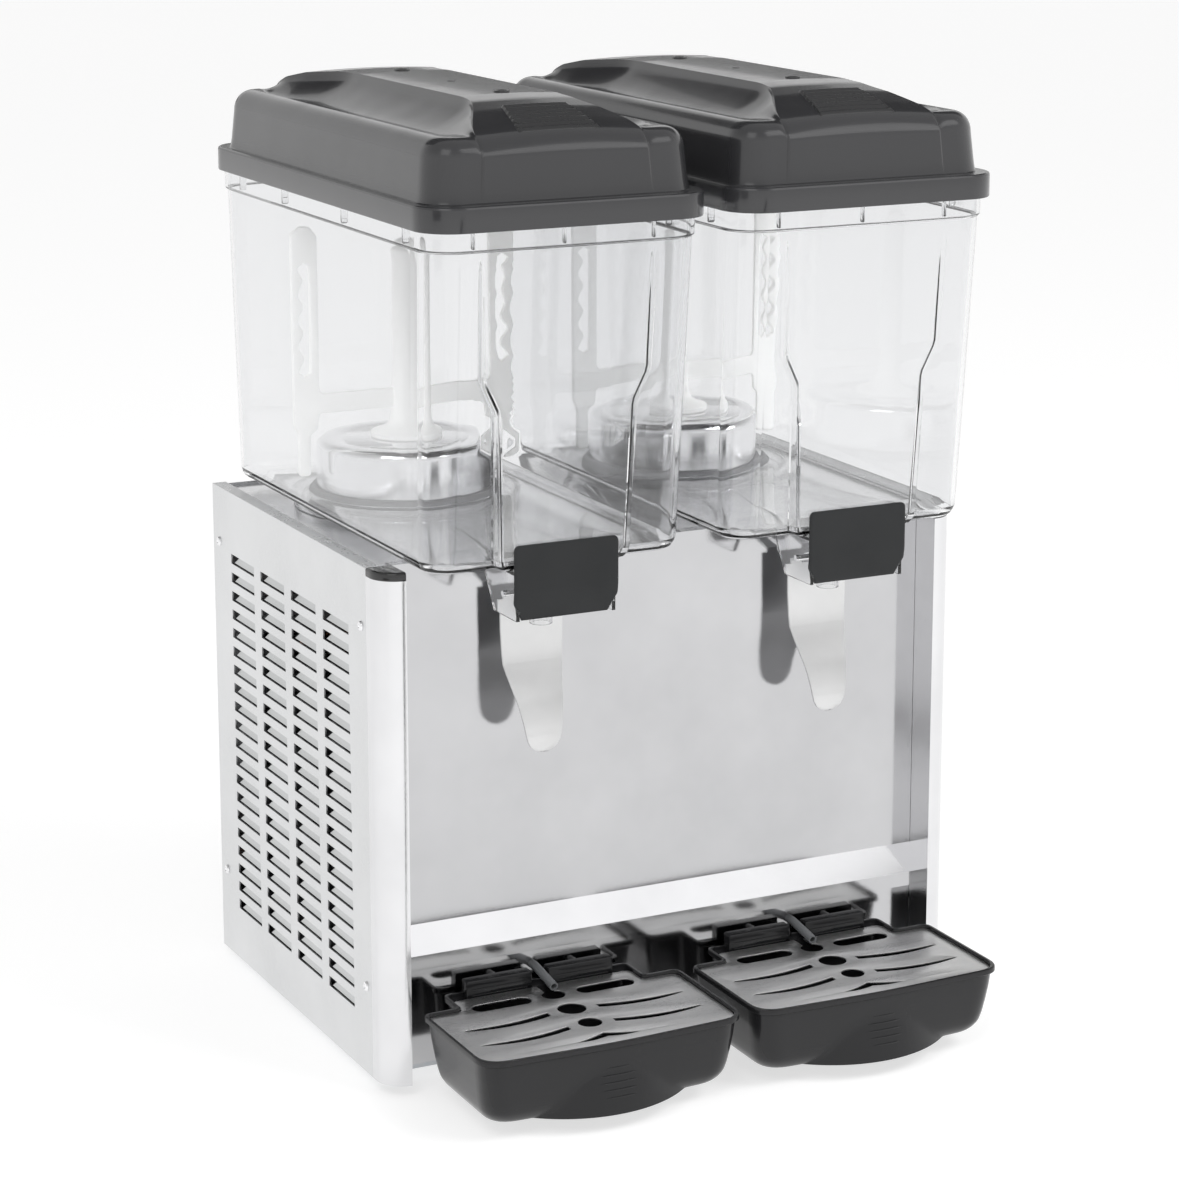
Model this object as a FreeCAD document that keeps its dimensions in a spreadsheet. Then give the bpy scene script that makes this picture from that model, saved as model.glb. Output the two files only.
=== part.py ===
"""Twin-bowl chilled drink dispenser: steel cabinet, two clear bowls with lids, stirrers, taps and drip trays.

+X is to the user's right, the front faces -Y and +Z is up. The origin is at floor level under the middle of
the bounding box. Every sub-part is first laid out from the cabinet's own datum (Y = 0 on the face of the front
panel, Z = 0 on the cabinet's bottom edge) and then placed, so that it stands on its feet around the origin.
Left-hand sub-parts are modelled, and right-hand ones are their mirror images.
"""
import FreeCAD, Part
import math
import os
import re
import Sketcher

Vector = FreeCAD.Vector
X, Y, Z = Vector(1, 0, 0), Vector(0, 1, 0), Vector(0, 0, 1)

DIMENSIONS = {
    # placing
    "datum_y": -82.78, "foot_rise": 8.0,
    # cabinet
    "cab_w": 430.0, "cab_d": 284.0, "cab_high": 346.0, "skin": 1.2, "flange": 10.0,
    "post_w": 18.0, "post_d": 24.0, "post_high": 341.0, "cap_high": 5.5,
    "bevel_top": 101.5, "bevel_low": 84.0, "nose_out": 12.0, "nose_low": 74.0,
    "skirt_low": 4.0, "pan_skin": 1.5, "pan_lip": 15.0, "plate_low": 341.6,
    # louvres
    "slot_long": 45.0, "slot_high": 7.0, "slot_first": 30.4, "slot_step": 57.7, "slot_top": 301.8,
    "row_step": 13.47, "louvre_inset": 3.2, "louvre_skin": 0.8,
    # feet and screws
    "foot_rad": 12.0, "foot_x": 172.0, "foot_front": 42.0, "foot_back": 250.0, "head_rad": 3.4, "head_high": 1.7,
    # bowls
    "bowl_x": 106.9, "bowl_low": 350.0, "bowl_top": 575.0, "ledge_z": 551.0, "wall": 3.0,
    "spigot_rad": 79.0, "spigot_low": 343.0, "hatch_rad": 66.5,
    # cooling drum
    "drum_y": 185.0, "drum_rad": 61.0, "drum_low": 330.0, "drum_top": 389.0, "drum_rim": 72.0, "drum_hole": 61.3,
    "pivot_rad": 4.0, "pivot_high": 7.0, "seal_rad": 66.2, "seal_top": 356.0, "running": 0.05,
    # stirrer drive
    "motor_rad": 30.0, "motor_low": 262.0, "shaft_rad": 3.0, "shaft_top": 384.0, "rotor_rad": 28.0,
    # tap
    "outlet_y": -33.0, "outlet_rad": 8.0, "spout_rad": 7.5, "spout_bore": 5.8, "spout_low": 305.5,
    "cheek_half": 35.0, "cheek_skin": 2.5, "hinge_y": -52.0, "hinge_z": 333.0, "pin_rad": 2.0,
    "cover_half": 36.5, "cover_y": -70.4, "cover_skin": 2.0, "cover_top": 368.0, "cover_fold": 334.0,
    "cover_low": 318.5, "piston_rad": 5.0, "cross_z": 329.0, "cross_rad": 1.5, "cross_half": 16.0,
    # lid
    "rim_half": 98.8, "rim_front": -86.5, "rim_back": 302.0, "rim_low": 569.7, "rim_top": 585.8, "lid_high": 644.0,
    # tray
    "tray_x": 98.9, "tray_low": 4.5, "tray_top": 51.6, "tray_back": -5.0, "tray_front": -132.5, "tray_half": 94.0,
    "belly_front": -136.44, "belly_rad": 85.0, "belly_draft": 10.5,
    "peg_x": 30.0, "peg_z": 55.8, "peg_rad": 4.0, "peg_hole": 4.1, "drain_z": 60.0, "drain_rad": 3.0,
    # rear fittings
    "rocker_x": 160.0, "rocker_step": 25.0, "rocker_z": 295.0, "knob_z": 250.0, "inlet_x": 165.0, "inlet_z": 42.0,
    # refrigeration
    "fan_y": 142.0, "fan_z": 135.0, "fan_rad": 80.0, "pump_x": 95.0, "pump_y": 175.0, "pump_rad": 60.0,
}

doc = FreeCAD.newDocument("drink_dispenser")
sheet = doc.addObject("Spreadsheet::Sheet", "Sheet")
for row, (alias, number) in enumerate(DIMENSIONS.items(), 1):
    sheet.set(f"A{row}", alias)
    sheet.set(f"B{row}", str(number))
    sheet.setAlias(f"B{row}", alias)
doc.recompute()

nodes = []
corners_of = {}


def scoped(text):
    """The expression with each driving dimension looked up in the sheet."""
    return re.sub(r"[a-z_]+", lambda word: "Sheet." + word.group(0) if word.group(0) in DIMENSIONS
                  else word.group(0), str(text))


def value(text):
    return float(sheet.evalExpression(scoped(text)))


def bind(item, name, text):
    item.setExpression(name, scoped(text))


def finish(item, label):
    """Names a sub-part and moves it from the cabinet's datum to the model's origin."""
    x, y, z = corners_of.get(item.Name, ("0", "0", "0"))
    item.Label = label
    bind(item, "Placement.Base.x", x)
    bind(item, "Placement.Base.y", f"datum_y + ({y})")
    bind(item, "Placement.Base.z", f"foot_rise + ({z})")
    nodes.append(item)
    return item


def mirrored(item, label):
    twin = doc.addObject("Part::Mirroring", label)
    twin.Source = item
    twin.Normal = X
    twin.Label = label
    nodes.append(twin)
    return twin


def box(name, x, y, z):
    """A block between low and high expressions on each axis."""
    item = doc.addObject("Part::Box", name)
    for size, (low, high) in (("Length", x), ("Width", y), ("Height", z)):
        bind(item, size, f"({high}) - ({low})")
    corners_of[item.Name] = (x[0], y[0], z[0])
    for axis, (low, high) in (("x", x), ("y", y), ("z", z)):
        bind(item, f"Placement.Base.{axis}", low)
    return item


def rod(name, radius, length, base, direction=Z):
    """A cylinder from its base point along a direction."""
    item = doc.addObject("Part::Cylinder", name)
    bind(item, "Radius", radius)
    bind(item, "Height", length)
    item.Placement = FreeCAD.Placement(Vector(), FreeCAD.Rotation(Z, direction))
    corners_of[item.Name] = base
    for axis, text in zip("xyz", base):
        bind(item, f"Placement.Base.{axis}", text)
    return item


def less(name, base, *tools):
    """The base with every tool cut away."""
    item = doc.addObject("Part::Cut", name)
    item.Base = base
    item.Tool = tools[0] if len(tools) == 1 else joined(name + "_tools", *tools)
    return item


def joined(name, *pieces):
    item = doc.addObject("Part::MultiFuse", name)
    item.Shapes = list(pieces)
    return item


def group(name, *pieces):
    """Separate solids kept together in one sub-part."""
    item = doc.addObject("Part::Compound", name)
    item.Links = list(pieces)
    return item


def solid(name, shape):
    """A shape made with Part's own functions, in the cabinet's datum."""
    item = doc.addObject("Part::Feature", name)
    item.Shape = shape
    return item


def draw(sketch, corners):
    """A closed outline. A corner is (x, y), or (x, y, centre x, centre y, radius) when an arc leaves it."""
    points = [Vector(value(corner[0]), value(corner[1]), 0) for corner in corners]
    ends = []
    for index, corner in enumerate(corners):
        start, stop = points[index], points[(index + 1) % len(points)]
        edge = Part.LineSegment(start, stop)
        if len(corner) > 2:
            centre = Vector(value(corner[2]), value(corner[3]), 0)
            middle = (start + stop) * 0.5 - centre
            edge = Part.Arc(start, centre + middle.normalize() * (start - centre).Length, stop)
        number = sketch.addGeometry(edge, False)
        first = 1 if (sketch.Geometry[number].StartPoint - start).Length < 1e-6 else 2
        ends.append((number, first))
    for index, corner in enumerate(corners):
        number, first = ends[index]
        before, before_first = ends[index - 1]
        sketch.addConstraint(Sketcher.Constraint("Coincident", before, 3 - before_first, number, first))
        for kind, text in (("DistanceX", corner[0]), ("DistanceY", corner[1])):
            entry = sketch.addConstraint(Sketcher.Constraint(kind, -1, 1, number, first, value(text)))
            sketch.setExpression(f"Constraints[{entry}]", scoped(text))
        if len(corner) > 2:
            entry = sketch.addConstraint(Sketcher.Constraint("Radius", number, value(corner[4])))
            sketch.setExpression(f"Constraints[{entry}]", scoped(corner[4]))


def sketch_on(body, name, plane, offset, corners):
    sketch = body.newObject("Sketcher::SketchObject", name)
    origin_plane = [feature for feature in body.Origin.OriginFeatures if feature.Role == plane][0]
    sketch.AttachmentSupport = [(origin_plane, "")]
    sketch.MapMode = "FlatFace"
    sketch.setExpression("AttachmentOffset.Base.z", scoped(offset))
    draw(sketch, corners)
    return sketch


def profile(name, plane, corners, start, stop):
    """A body padded from a sketch: YZ_Plane pads along +X, XY_Plane along +Z and XZ_Plane along +Y."""
    body = doc.addObject("PartDesign::Body", name)
    along_y = plane == "XZ_Plane"
    offset = f"-({start})" if along_y else start
    sketch = sketch_on(body, name + "_sketch", plane, offset, corners)
    pad = body.newObject("PartDesign::Pad", name + "_pad")
    pad.Profile = sketch
    pad.Reversed = along_y
    bind(pad, "Length", f"({stop}) - ({start})")
    return body


# ---------------------------------------------------------------- shapes made from rounded outlines

def rounded_wire(points, radii, z):
    """A closed outline at height z with a tangent arc at each corner."""
    spots = [Vector(x, y, z) for x, y in points]
    edges = []
    arcs = []
    for index, spot in enumerate(spots):
        arriving = (spot - spots[index - 1]).normalize()
        leaving = (spots[(index + 1) % len(spots)] - spot).normalize()
        turn = arriving.getAngle(leaving)
        radius = radii[index % len(radii)]
        reach = radius * math.tan(turn / 2)
        inward = (leaving - arriving).normalize()
        middle = spot + inward * (radius / math.cos(turn / 2) - radius)
        arcs.append((spot - arriving * reach, middle, spot + leaving * reach))
    for index, (start, middle, stop) in enumerate(arcs):
        edges.append(Part.Arc(start, middle, stop).toShape())
        following = arcs[(index + 1) % len(arcs)][0]
        edges.append(Part.LineSegment(stop, following).toShape())
    return Part.Wire(edges)


def rounded_rectangle(centre, half, front, back, radius, z):
    points = [(centre - half, front), (centre + half, front), (centre + half, back), (centre - half, back)]
    return rounded_wire(points, [radius], z)


def loft(*wires):
    return Part.makeLoft(list(wires), True, True)


def prism(points, along):
    """A flat outline of 3D points swept along a vector."""
    return Part.Face(Part.makePolygon(points + points[:1])).extrude(along)


def tube_along(points, radius, bend):
    """A round bar along straight runs joined by tangent arcs."""
    spots = [Vector(*point) for point in points]
    edges = []
    start = spots[0]
    for index in range(1, len(spots) - 1):
        spot = spots[index]
        arriving = (spot - spots[index - 1]).normalize()
        leaving = (spots[index + 1] - spot).normalize()
        turn = arriving.getAngle(leaving)
        reach = bend * math.tan(turn / 2)
        middle = spot + (leaving - arriving).normalize() * (bend / math.cos(turn / 2) - bend)
        edges.append(Part.LineSegment(start, spot - arriving * reach).toShape())
        edges.append(Part.Arc(spot - arriving * reach, middle, spot + leaving * reach).toShape())
        start = spot + leaving * reach
    edges.append(Part.LineSegment(start, spots[-1]).toShape())
    ring = Part.Wire(Part.makeCircle(radius, spots[0], (spots[1] - spots[0]).normalize()))
    return Part.Wire(edges).makePipeShell([ring], True, False)


def coil(wire_radius, coil_radius, pitch, turns, centre):
    """A spring or coiled pipe about +Z that starts at the centre's height, in short straight runs."""
    runs = 16
    spots = []
    for step in range(int(turns * runs) + 1):
        turn = 2 * math.pi * step / runs
        spots.append(centre + Vector(coil_radius * math.cos(turn), coil_radius * math.sin(turn), pitch * step / runs))
    ring = Part.Wire(Part.makeCircle(wire_radius, spots[0], spots[1] - spots[0]))
    return Part.makePolygon(spots).makePipeShell([ring], True, False, 1)


def place(item, label):
    """Finishes a shape made with Part's own functions."""
    shift = FreeCAD.Placement(Vector(0, value("datum_y"), value("foot_rise")), FreeCAD.Rotation())
    item.Placement = shift.multiply(item.Placement)
    item.Label = label
    nodes.append(item)
    return item


# ---------------------------------------------------------------- cabinet

def cabinet_panels():
    pan = profile("pan_body", "YZ_Plane", [
        ("skin * 2", "0"), ("cab_d - skin * 2", "0"), ("cab_d - skin * 2", "pan_lip"),
        ("cab_d - skin * 2 - pan_skin", "pan_lip"), ("cab_d - skin * 2 - pan_skin", "pan_skin"),
        ("skin * 2 + pan_skin", "pan_skin"), ("skin * 2 + pan_skin", "pan_lip"), ("skin * 2", "pan_lip")],
        "-cab_w / 2 + skin", "cab_w / 2 - skin")
    finish(pan, "base_pan")

    front = profile("front_body", "YZ_Plane", [
        ("flange", "cab_high"), ("0", "cab_high"), ("0", "bevel_top"), ("-nose_out", "bevel_low"),
        ("-nose_out", "nose_low"), ("0", "nose_low"), ("0", "nose_low + skin"),
        ("-nose_out + skin", "nose_low + skin"), ("-nose_out + skin", "bevel_low - skin / 2"),
        ("skin", "bevel_top - skin / 2"), ("skin", "cab_high - skin"), ("flange", "cab_high - skin")],
        "-cab_w / 2 + post_w", "cab_w / 2 - post_w")
    finish(front, "front_panel")

    skirt = profile("skirt_body", "YZ_Plane", [
        ("0", "skirt_low"), ("skin", "skirt_low"), ("skin", "nose_low"), ("0", "nose_low")],
        "-cab_w / 2 + post_w", "cab_w / 2 - post_w")
    holes = []
    for side in ("-tray_x", "tray_x"):
        for shift in ("-peg_x", "peg_x"):
            holes.append(rod("peg_hole", "peg_hole", "skin * 3", (f"{side} + {shift}", "-skin", "peg_z"), Y))
        holes.append(rod("drain_hole", "drain_rad", "skin * 3", (side, "-skin", "drain_z"), Y))
    finish(less("skirt_cut", skirt, *holes), "lower_front_panel")

    plate = box("plate_block", ("-cab_w / 2 + skin", "cab_w / 2 - skin"), ("skin", "cab_d - skin"),
                ("plate_low", "plate_low + skin"))
    wells = [rod("drum_well", "drum_hole", "skin * 3", (side, "drum_y", "plate_low - skin"))
             for side in ("-bowl_x", "bowl_x")]
    finish(less("plate_cut", plate, *wells), "top_plate")


def side_panels():
    """The left side: a flanged sheet with four columns of louvres, each a blade set in behind its slot."""
    sheet_body = profile("side_body", "XZ_Plane", [
        ("-cab_w / 2", "0"), ("-cab_w / 2 + skin", "0"), ("-cab_w / 2 + skin", "cab_high - skin"),
        ("-cab_w / 2 + flange", "cab_high - skin"), ("-cab_w / 2 + flange", "cab_high"),
        ("-cab_w / 2", "cab_high")], "0", "cab_d")
    outside = -value("cab_w") / 2
    inside = outside + value("skin")
    skin, inset = value("louvre_skin"), value("louvre_inset")
    long, high = value("slot_long"), value("slot_high")
    slots, blades = [], []
    for column in range(4):
        rear_gap, front_gap = 9.0, 3.0
        low_y = value("slot_first") + column * value("slot_step")
        for row in range(20):
            low_z = value("slot_top") - row * value("row_step") - high
            top_z = low_z + high
            slots.append(Part.makeBox(value("skin") * 3, long, high, Vector(outside - value("skin"), low_y, low_z)))
            web = Part.makeBox(inset, long, skin, Vector(inside, low_y, top_z))
            blade = prism([Vector(inside + inset - skin, low_y, top_z), Vector(inside + inset - skin, low_y, low_z + 1),
                           Vector(inside + inset - skin, low_y + long - front_gap, low_z + 1),
                           Vector(inside + inset - skin, low_y + long - rear_gap, top_z)], Vector(skin, 0, 0))
            blades.append(web.fuse(blade))
    openings = solid("louvre_slots", Part.makeCompound(slots))
    flaps = solid("louvre_blades", Part.makeCompound(blades))
    slotted = less("side_slotted", sheet_body, openings)
    left = finish(joined("side_louvred", slotted, flaps), "left_side_panel")
    mirrored(left, "right_side_panel")


def rear_panel():
    skin_block = box("rear_block", ("-cab_w / 2 + skin", "cab_w / 2 - skin"), ("cab_d - skin", "cab_d"),
                     ("0", "cab_high - skin"))
    vents = []
    for column in range(3):
        for row in range(9):
            corner = Vector(-165 + column * 80, value("cab_d") - value("skin") * 2, 90 + row * 14)
            vents.append(Part.makeBox(62, value("skin") * 3, 5, corner))
    slots = solid("rear_vents", Part.makeCompound(vents))
    windows = [box("rocker_window", (f"rocker_x + {step} * rocker_step - 6.7", f"rocker_x + {step} * rocker_step + 6.7"),
                   ("cab_d - skin * 2", "cab_d + skin"), ("rocker_z - 10.2", "rocker_z + 10.2"))
               for step in (-1, 0, 1)]
    knob_hole = rod("knob_hole", "shaft_rad * 1.5", "skin * 3", ("rocker_x", "cab_d - skin * 2", "knob_z"), Y)
    inlet_hole = box("inlet_hole", ("inlet_x - 14", "inlet_x + 14"), ("cab_d - skin * 2", "cab_d + skin"),
                     ("inlet_z - 10", "inlet_z + 10"))
    finish(less("rear_cut", skin_block, slots, knob_hole, inlet_hole, *windows), "rear_panel")


def posts_and_caps():
    """Quarter-round corner posts of bent sheet with a plastic cap on each."""
    quarter = profile("post_body", "XY_Plane", [
        ("-cab_w / 2", "0"), ("-cab_w / 2", "-post_d + post_w", "-cab_w / 2 + post_w", "-post_d + post_w", "post_w"),
        ("-cab_w / 2 + post_w", "-post_d"), ("-cab_w / 2 + post_w", "-skin / 4"), ("-cab_w / 2 + skin * 2", "-skin / 4"),
        ("-cab_w / 2 + skin * 2", "0")], "0", "post_high")
    hollow = profile("post_hollow", "XY_Plane", [
        ("-cab_w / 2 + skin", "1"), ("-cab_w / 2 + skin", "-post_d + post_w",
         "-cab_w / 2 + post_w", "-post_d + post_w", "post_w - skin"),
        ("-cab_w / 2 + post_w", "-post_d + skin"), ("-cab_w / 2 + post_w", "1")], "-1", "post_high + 1")
    web = box("post_web", ("-cab_w / 2 + post_w - skin", "-cab_w / 2 + post_w"), ("-post_d + skin / 2", "-skin / 4"),
              ("0", "post_high"))
    post = joined("post", less("post_shell", quarter, hollow), web)
    mirrored(finish(post, "left_front_post"), "right_front_post")
    cap = profile("cap_body", "XY_Plane", [
        ("-cab_w / 2", "0"), ("-cab_w / 2", "-post_d + post_w", "-cab_w / 2 + post_w", "-post_d + post_w", "post_w"),
        ("-cab_w / 2 + post_w", "-post_d"), ("-cab_w / 2 + post_w", "0")], "post_high", "post_high + cap_high")
    mirrored(finish(cap, "left_post_cap"), "right_post_cap")


def feet_and_screws():
    feet = []
    for side in ("-foot_x", "foot_x"):
        for depth in ("foot_front", "foot_back"):
            pad = doc.addObject("Part::Cone", "foot_pad")
            bind(pad, "Radius1", "foot_rad - 2")
            bind(pad, "Radius2", "foot_rad")
            bind(pad, "Height", "foot_rise")
            for axis, text in (("x", side), ("y", depth), ("z", "-foot_rise")):
                bind(pad, f"Placement.Base.{axis}", text)
            feet.append(pad)
    finish(group("feet", *feet), "rubber_feet")

    heads = []
    for side, direction in (("-cab_w / 2", -X), ("cab_w / 2", X)):
        for depth in (9.0, 272.0):
            for height in (61.0, 306.0):
                heads.append(rod("side_head", "head_rad", "head_high", (side, str(depth), str(height)), direction))
    for side in (-200.0, 0.0, 200.0):
        for height in (20.0, 330.0):
            heads.append(rod("rear_head", "head_rad", "head_high", (str(side), "cab_d", str(height)), Y))
    finish(group("screws", *heads), "panel_screws")


# ---------------------------------------------------------------- cooling and stirring

def drums():
    left = "-bowl_x"
    outer = rod("drum_outer", "drum_rad", "drum_top - drum_low", (left, "drum_y", "drum_low"))
    rim = rod("drum_rim", "drum_rim", "skin", (left, "drum_y", "plate_low + skin"))
    pivot = rod("drum_pivot", "pivot_rad", "pivot_high + skin", (left, "drum_y", "drum_top - skin"))
    hollow = rod("drum_hollow", "drum_rad - skin", "drum_top - drum_low - skin", (left, "drum_y", "drum_low"))
    cup = less("drum_cup", joined("drum_blank", outer, rim), hollow)
    drum = finish(joined("drum", cup, pivot), "left_cooling_drum")
    mirrored(drum, "right_cooling_drum")

    rings = []
    for side in ("-bowl_x", "bowl_x"):
        ring = rod("seal_ring", "seal_rad", "seal_top - plate_low - skin * 2", (side, "drum_y", "plate_low + skin * 2"))
        bore = rod("seal_bore", "drum_rad + running", "seal_top", (side, "drum_y", "0"))
        rings.append(less("seal", ring, bore))
    finish(group("seals", *rings), "bowl_gaskets")

    pipe_radius, inner_radius, pitch, turns = 3.0, 54.0, 10.0, 3
    coils = [coil(pipe_radius, inner_radius, pitch, turns, Vector(side * value("bowl_x"), value("drum_y"), 346))
             for side in (-1, 1)]
    place(solid("evaporators", Part.makeCompound(coils)), "evaporator_coils")


def stirrer_drives():
    motors = []
    for side in ("-bowl_x", "bowl_x"):
        can = rod("motor_can", "motor_rad", "drum_low - motor_low - 3", (side, "drum_y", "motor_low"))
        disc = rod("motor_disc", "drum_rad", "3", (side, "drum_y", "drum_low - 3"))
        shaft = rod("motor_shaft", "shaft_rad", "shaft_top - drum_low", (side, "drum_y", "drum_low"))
        motors.append(joined("stirrer_motor", can, disc, shaft))
    finish(group("motors", *motors), "stirrer_motors")

    disc = rod("rotor_disc", "rotor_rad", "7", ("-bowl_x", "drum_y", "shaft_top - 9"))
    hub = rod("rotor_hub", "shaft_rad * 3", "6", ("-bowl_x", "drum_y", "shaft_top - 14"))
    bore = rod("rotor_bore", "shaft_rad + running", "30", ("-bowl_x", "drum_y", "shaft_top - 20"))
    poles = [rod("rotor_pole", "4.5", "2", (f"-bowl_x + {x}", f"drum_y + {y}", "shaft_top - 2"))
             for x, y in ((18, 0), (-18, 0), (0, 18), (0, -18))]
    rotor = finish(less("rotor", joined("rotor_blank", disc, hub, *poles), bore), "left_drive_rotor")
    mirrored(rotor, "right_drive_rotor")


def agitator():
    """The stirrer: a hub on the drum's pivot, a mast, a cross arm and two blades that hang beside the drum."""
    centre_x, centre_y, top = -value("bowl_x"), value("drum_y"), value("drum_top")
    thick = 4.0
    low_y = centre_y - thick / 2
    gap = 0.4
    hub = Part.makeCylinder(23, 4, Vector(centre_x, centre_y, top + gap))
    hub = hub.fuse(Part.makeCone(20, 8, 11, Vector(centre_x, centre_y, top + gap + 4)))
    mast = Part.makeCylinder(7, 130, Vector(centre_x, centre_y, top + gap + 8))
    tip = Part.makeSphere(7, Vector(centre_x, centre_y, top + gap + 138))
    arm = Part.makeBox(150, thick, 13, Vector(centre_x - 75, low_y, top + 21))
    shape = hub.fuse([mast, tip, arm])
    for side in (-1, 1):
        outline = [(63.5, 144), (67, 151), (76, 151), (81, 144), (81, 20), (78, 8), (78, -22), (70, -22),
                   (70, 8), (63.5, 20)]
        blade = prism([Vector(centre_x + side * x, low_y, top + z) for x, z in outline], Vector(0, thick, 0))
        slot = Part.makeBox(5.5, thick, 74, Vector(centre_x + side * 72.5 - 2.75, low_y, top + 51))
        shape = shape.fuse(blade).cut(slot)
        for notch in range(4):
            spot = Vector(centre_x + side * 75.5, low_y, top + 60 + notch * 18)
            shape = shape.cut(Part.makeCylinder(3.4, thick, spot, Y))
    socket = Part.makeCylinder(value("pivot_rad") + value("running"), value("pivot_high") + 1,
                               Vector(centre_x, centre_y, top))
    mirrored(place(solid("agitator", shape.cut(socket).removeSplitter()), "left_agitator"), "right_agitator")


# ---------------------------------------------------------------- bowls, taps and lids

def bowl():
    """A clear tank: drafted walls, a ledge and collar at the top, a bay at the front and a hatch for the drum."""
    centre, wall = -value("bowl_x"), value("wall")
    low, ledge, top = value("bowl_low"), value("ledge_z"), value("bowl_top")

    def tank(inset, floor, ceiling):
        return loft(rounded_rectangle(centre, 90.3 - inset, -62 + inset, 288 - inset, 20 - inset, floor),
                    rounded_rectangle(centre, 93.8 - inset, -77.5 + inset, 294 - inset, 22 - inset, ceiling))

    def bay(inset, floor):
        face = [(46.3, low), (49.9, 455), (58.7, 474), (60.8, ledge)]
        right = [Vector(centre + half - inset, -90, max(z, floor)) for half, z in face]
        left = [Vector(centre - half + inset, -90, max(z, floor)) for half, z in reversed(face)]
        front_view = prism(right + left, Vector(0, 50, 0))
        side_view = prism([Vector(centre - 90, y, z) for y, z in (
            (-69.5 + inset, floor), (-77.4 + inset, ledge), (-45, ledge), (-45, floor))], Vector(180, 0, 0))
        return front_view.common(side_view)

    def collar(inset, floor):
        return loft(rounded_rectangle(centre, 95.4 - inset, -79.5 + inset, 296.6 - inset, 24 - inset, floor),
                    rounded_rectangle(centre, 96.0 - inset, -83.6 + inset, 299.2 - inset, 24 - inset, top))

    shape = tank(0, low, ledge).fuse([bay(0, low), collar(0, ledge - wall)])
    shape = shape.cut(tank(wall, low + wall, ledge)).cut(bay(wall, low + wall)).cut(collar(wall, ledge))
    spigot_low, spigot = value("spigot_low"), value("spigot_rad")
    drum_spot = Vector(centre, value("drum_y"), spigot_low)
    shape = shape.fuse(Part.makeCylinder(spigot, low - spigot_low + 1, drum_spot))
    shape = shape.cut(Part.makeCylinder(spigot - 4, low - spigot_low, drum_spot))
    shape = shape.cut(Part.makeCylinder(value("hatch_rad"), 40, drum_spot))
    outlet = Vector(centre, value("outlet_y"), low - 1)
    shape = shape.cut(Part.makeCylinder(value("outlet_rad"), wall + 2, outlet))
    mirrored(place(solid("bowl", shape.removeSplitter()), "left_bowl"), "right_bowl")


def tap_body():
    """The clear housing under the bay: a roof, two cheeks for the lever's pin and the spout tube."""
    low = "bowl_low - cheek_skin"
    cheeks = []
    for side in (-1, 1):
        start = "-bowl_x - cheek_half" if side < 0 else "-bowl_x + cheek_half - cheek_skin"
        cheeks.append(profile("cheek", "YZ_Plane", [
            ("cover_y", "cover_low"), ("cover_y + 34", "cover_low"), ("cover_y + 44", "cover_low + 16"),
            ("cover_y + 50", low), ("cover_y + 50", "bowl_low"), ("cover_y", "bowl_low")],
            start, f"{start} + cheek_skin"))
    roof = box("tap_roof", ("-bowl_x - cheek_half", "-bowl_x + cheek_half"), ("cover_y", "cover_y + 50"),
               (low, "bowl_low"))
    tube = rod("spout_tube", "spout_rad", "bowl_low - spout_low", ("-bowl_x", "outlet_y", "spout_low"))
    bore = rod("spout_bore", "spout_bore", "bowl_low", ("-bowl_x", "outlet_y", "0"))
    slot = box("cross_slot", ("-bowl_x - 20", "-bowl_x + 20"), ("outlet_y - 1.8", "outlet_y + 1.8"),
               ("cross_z - 2.2", "cross_z + 8"))
    pin_hole = rod("pin_hole", "pin_rad + running", "cheek_half * 2 + 10",
                   ("-bowl_x - cheek_half - 5", "hinge_y", "hinge_z"), X)
    housing = less("tap_housing", joined("tap_blank", roof, tube, *cheeks), bore, slot, pin_hole)
    mirrored(finish(housing, "left_tap_body"), "right_tap_body")


def tap_cover():
    """The black plate on the tap's face: straight above, folded back below, with its lower corners cut off."""
    plate = profile("cover_plate", "YZ_Plane", [
        ("cover_y", "cover_top"), ("cover_y - cover_skin", "cover_top"), ("cover_y - cover_skin", "cover_fold"),
        ("cover_y - cover_skin + 3", "cover_low"), ("cover_y + 2.9", "cover_low"), ("cover_y", "cover_fold")],
        "-bowl_x - cover_half", "-bowl_x + cover_half")
    snips = []
    for side in (-1, 1):
        edge = f"-bowl_x + {side} * cover_half"
        corners = [(edge, "cover_low + 10"), (f"{edge} - {side} * 6", "cover_low"), (edge, "cover_low")]
        snips.append(profile("cover_snip", "XZ_Plane", corners, "cover_y - 10", "cover_y + 10"))
    clear = box("cover_clear", ("-bowl_x - cheek_half - 2", "-bowl_x + cheek_half + 2"),
                ("cover_y", "cover_y + 10"), ("cover_low - 5", "cover_top"))
    mirrored(finish(less("cover", plate, clear, *snips), "left_tap_cover"), "right_tap_cover")


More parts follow.
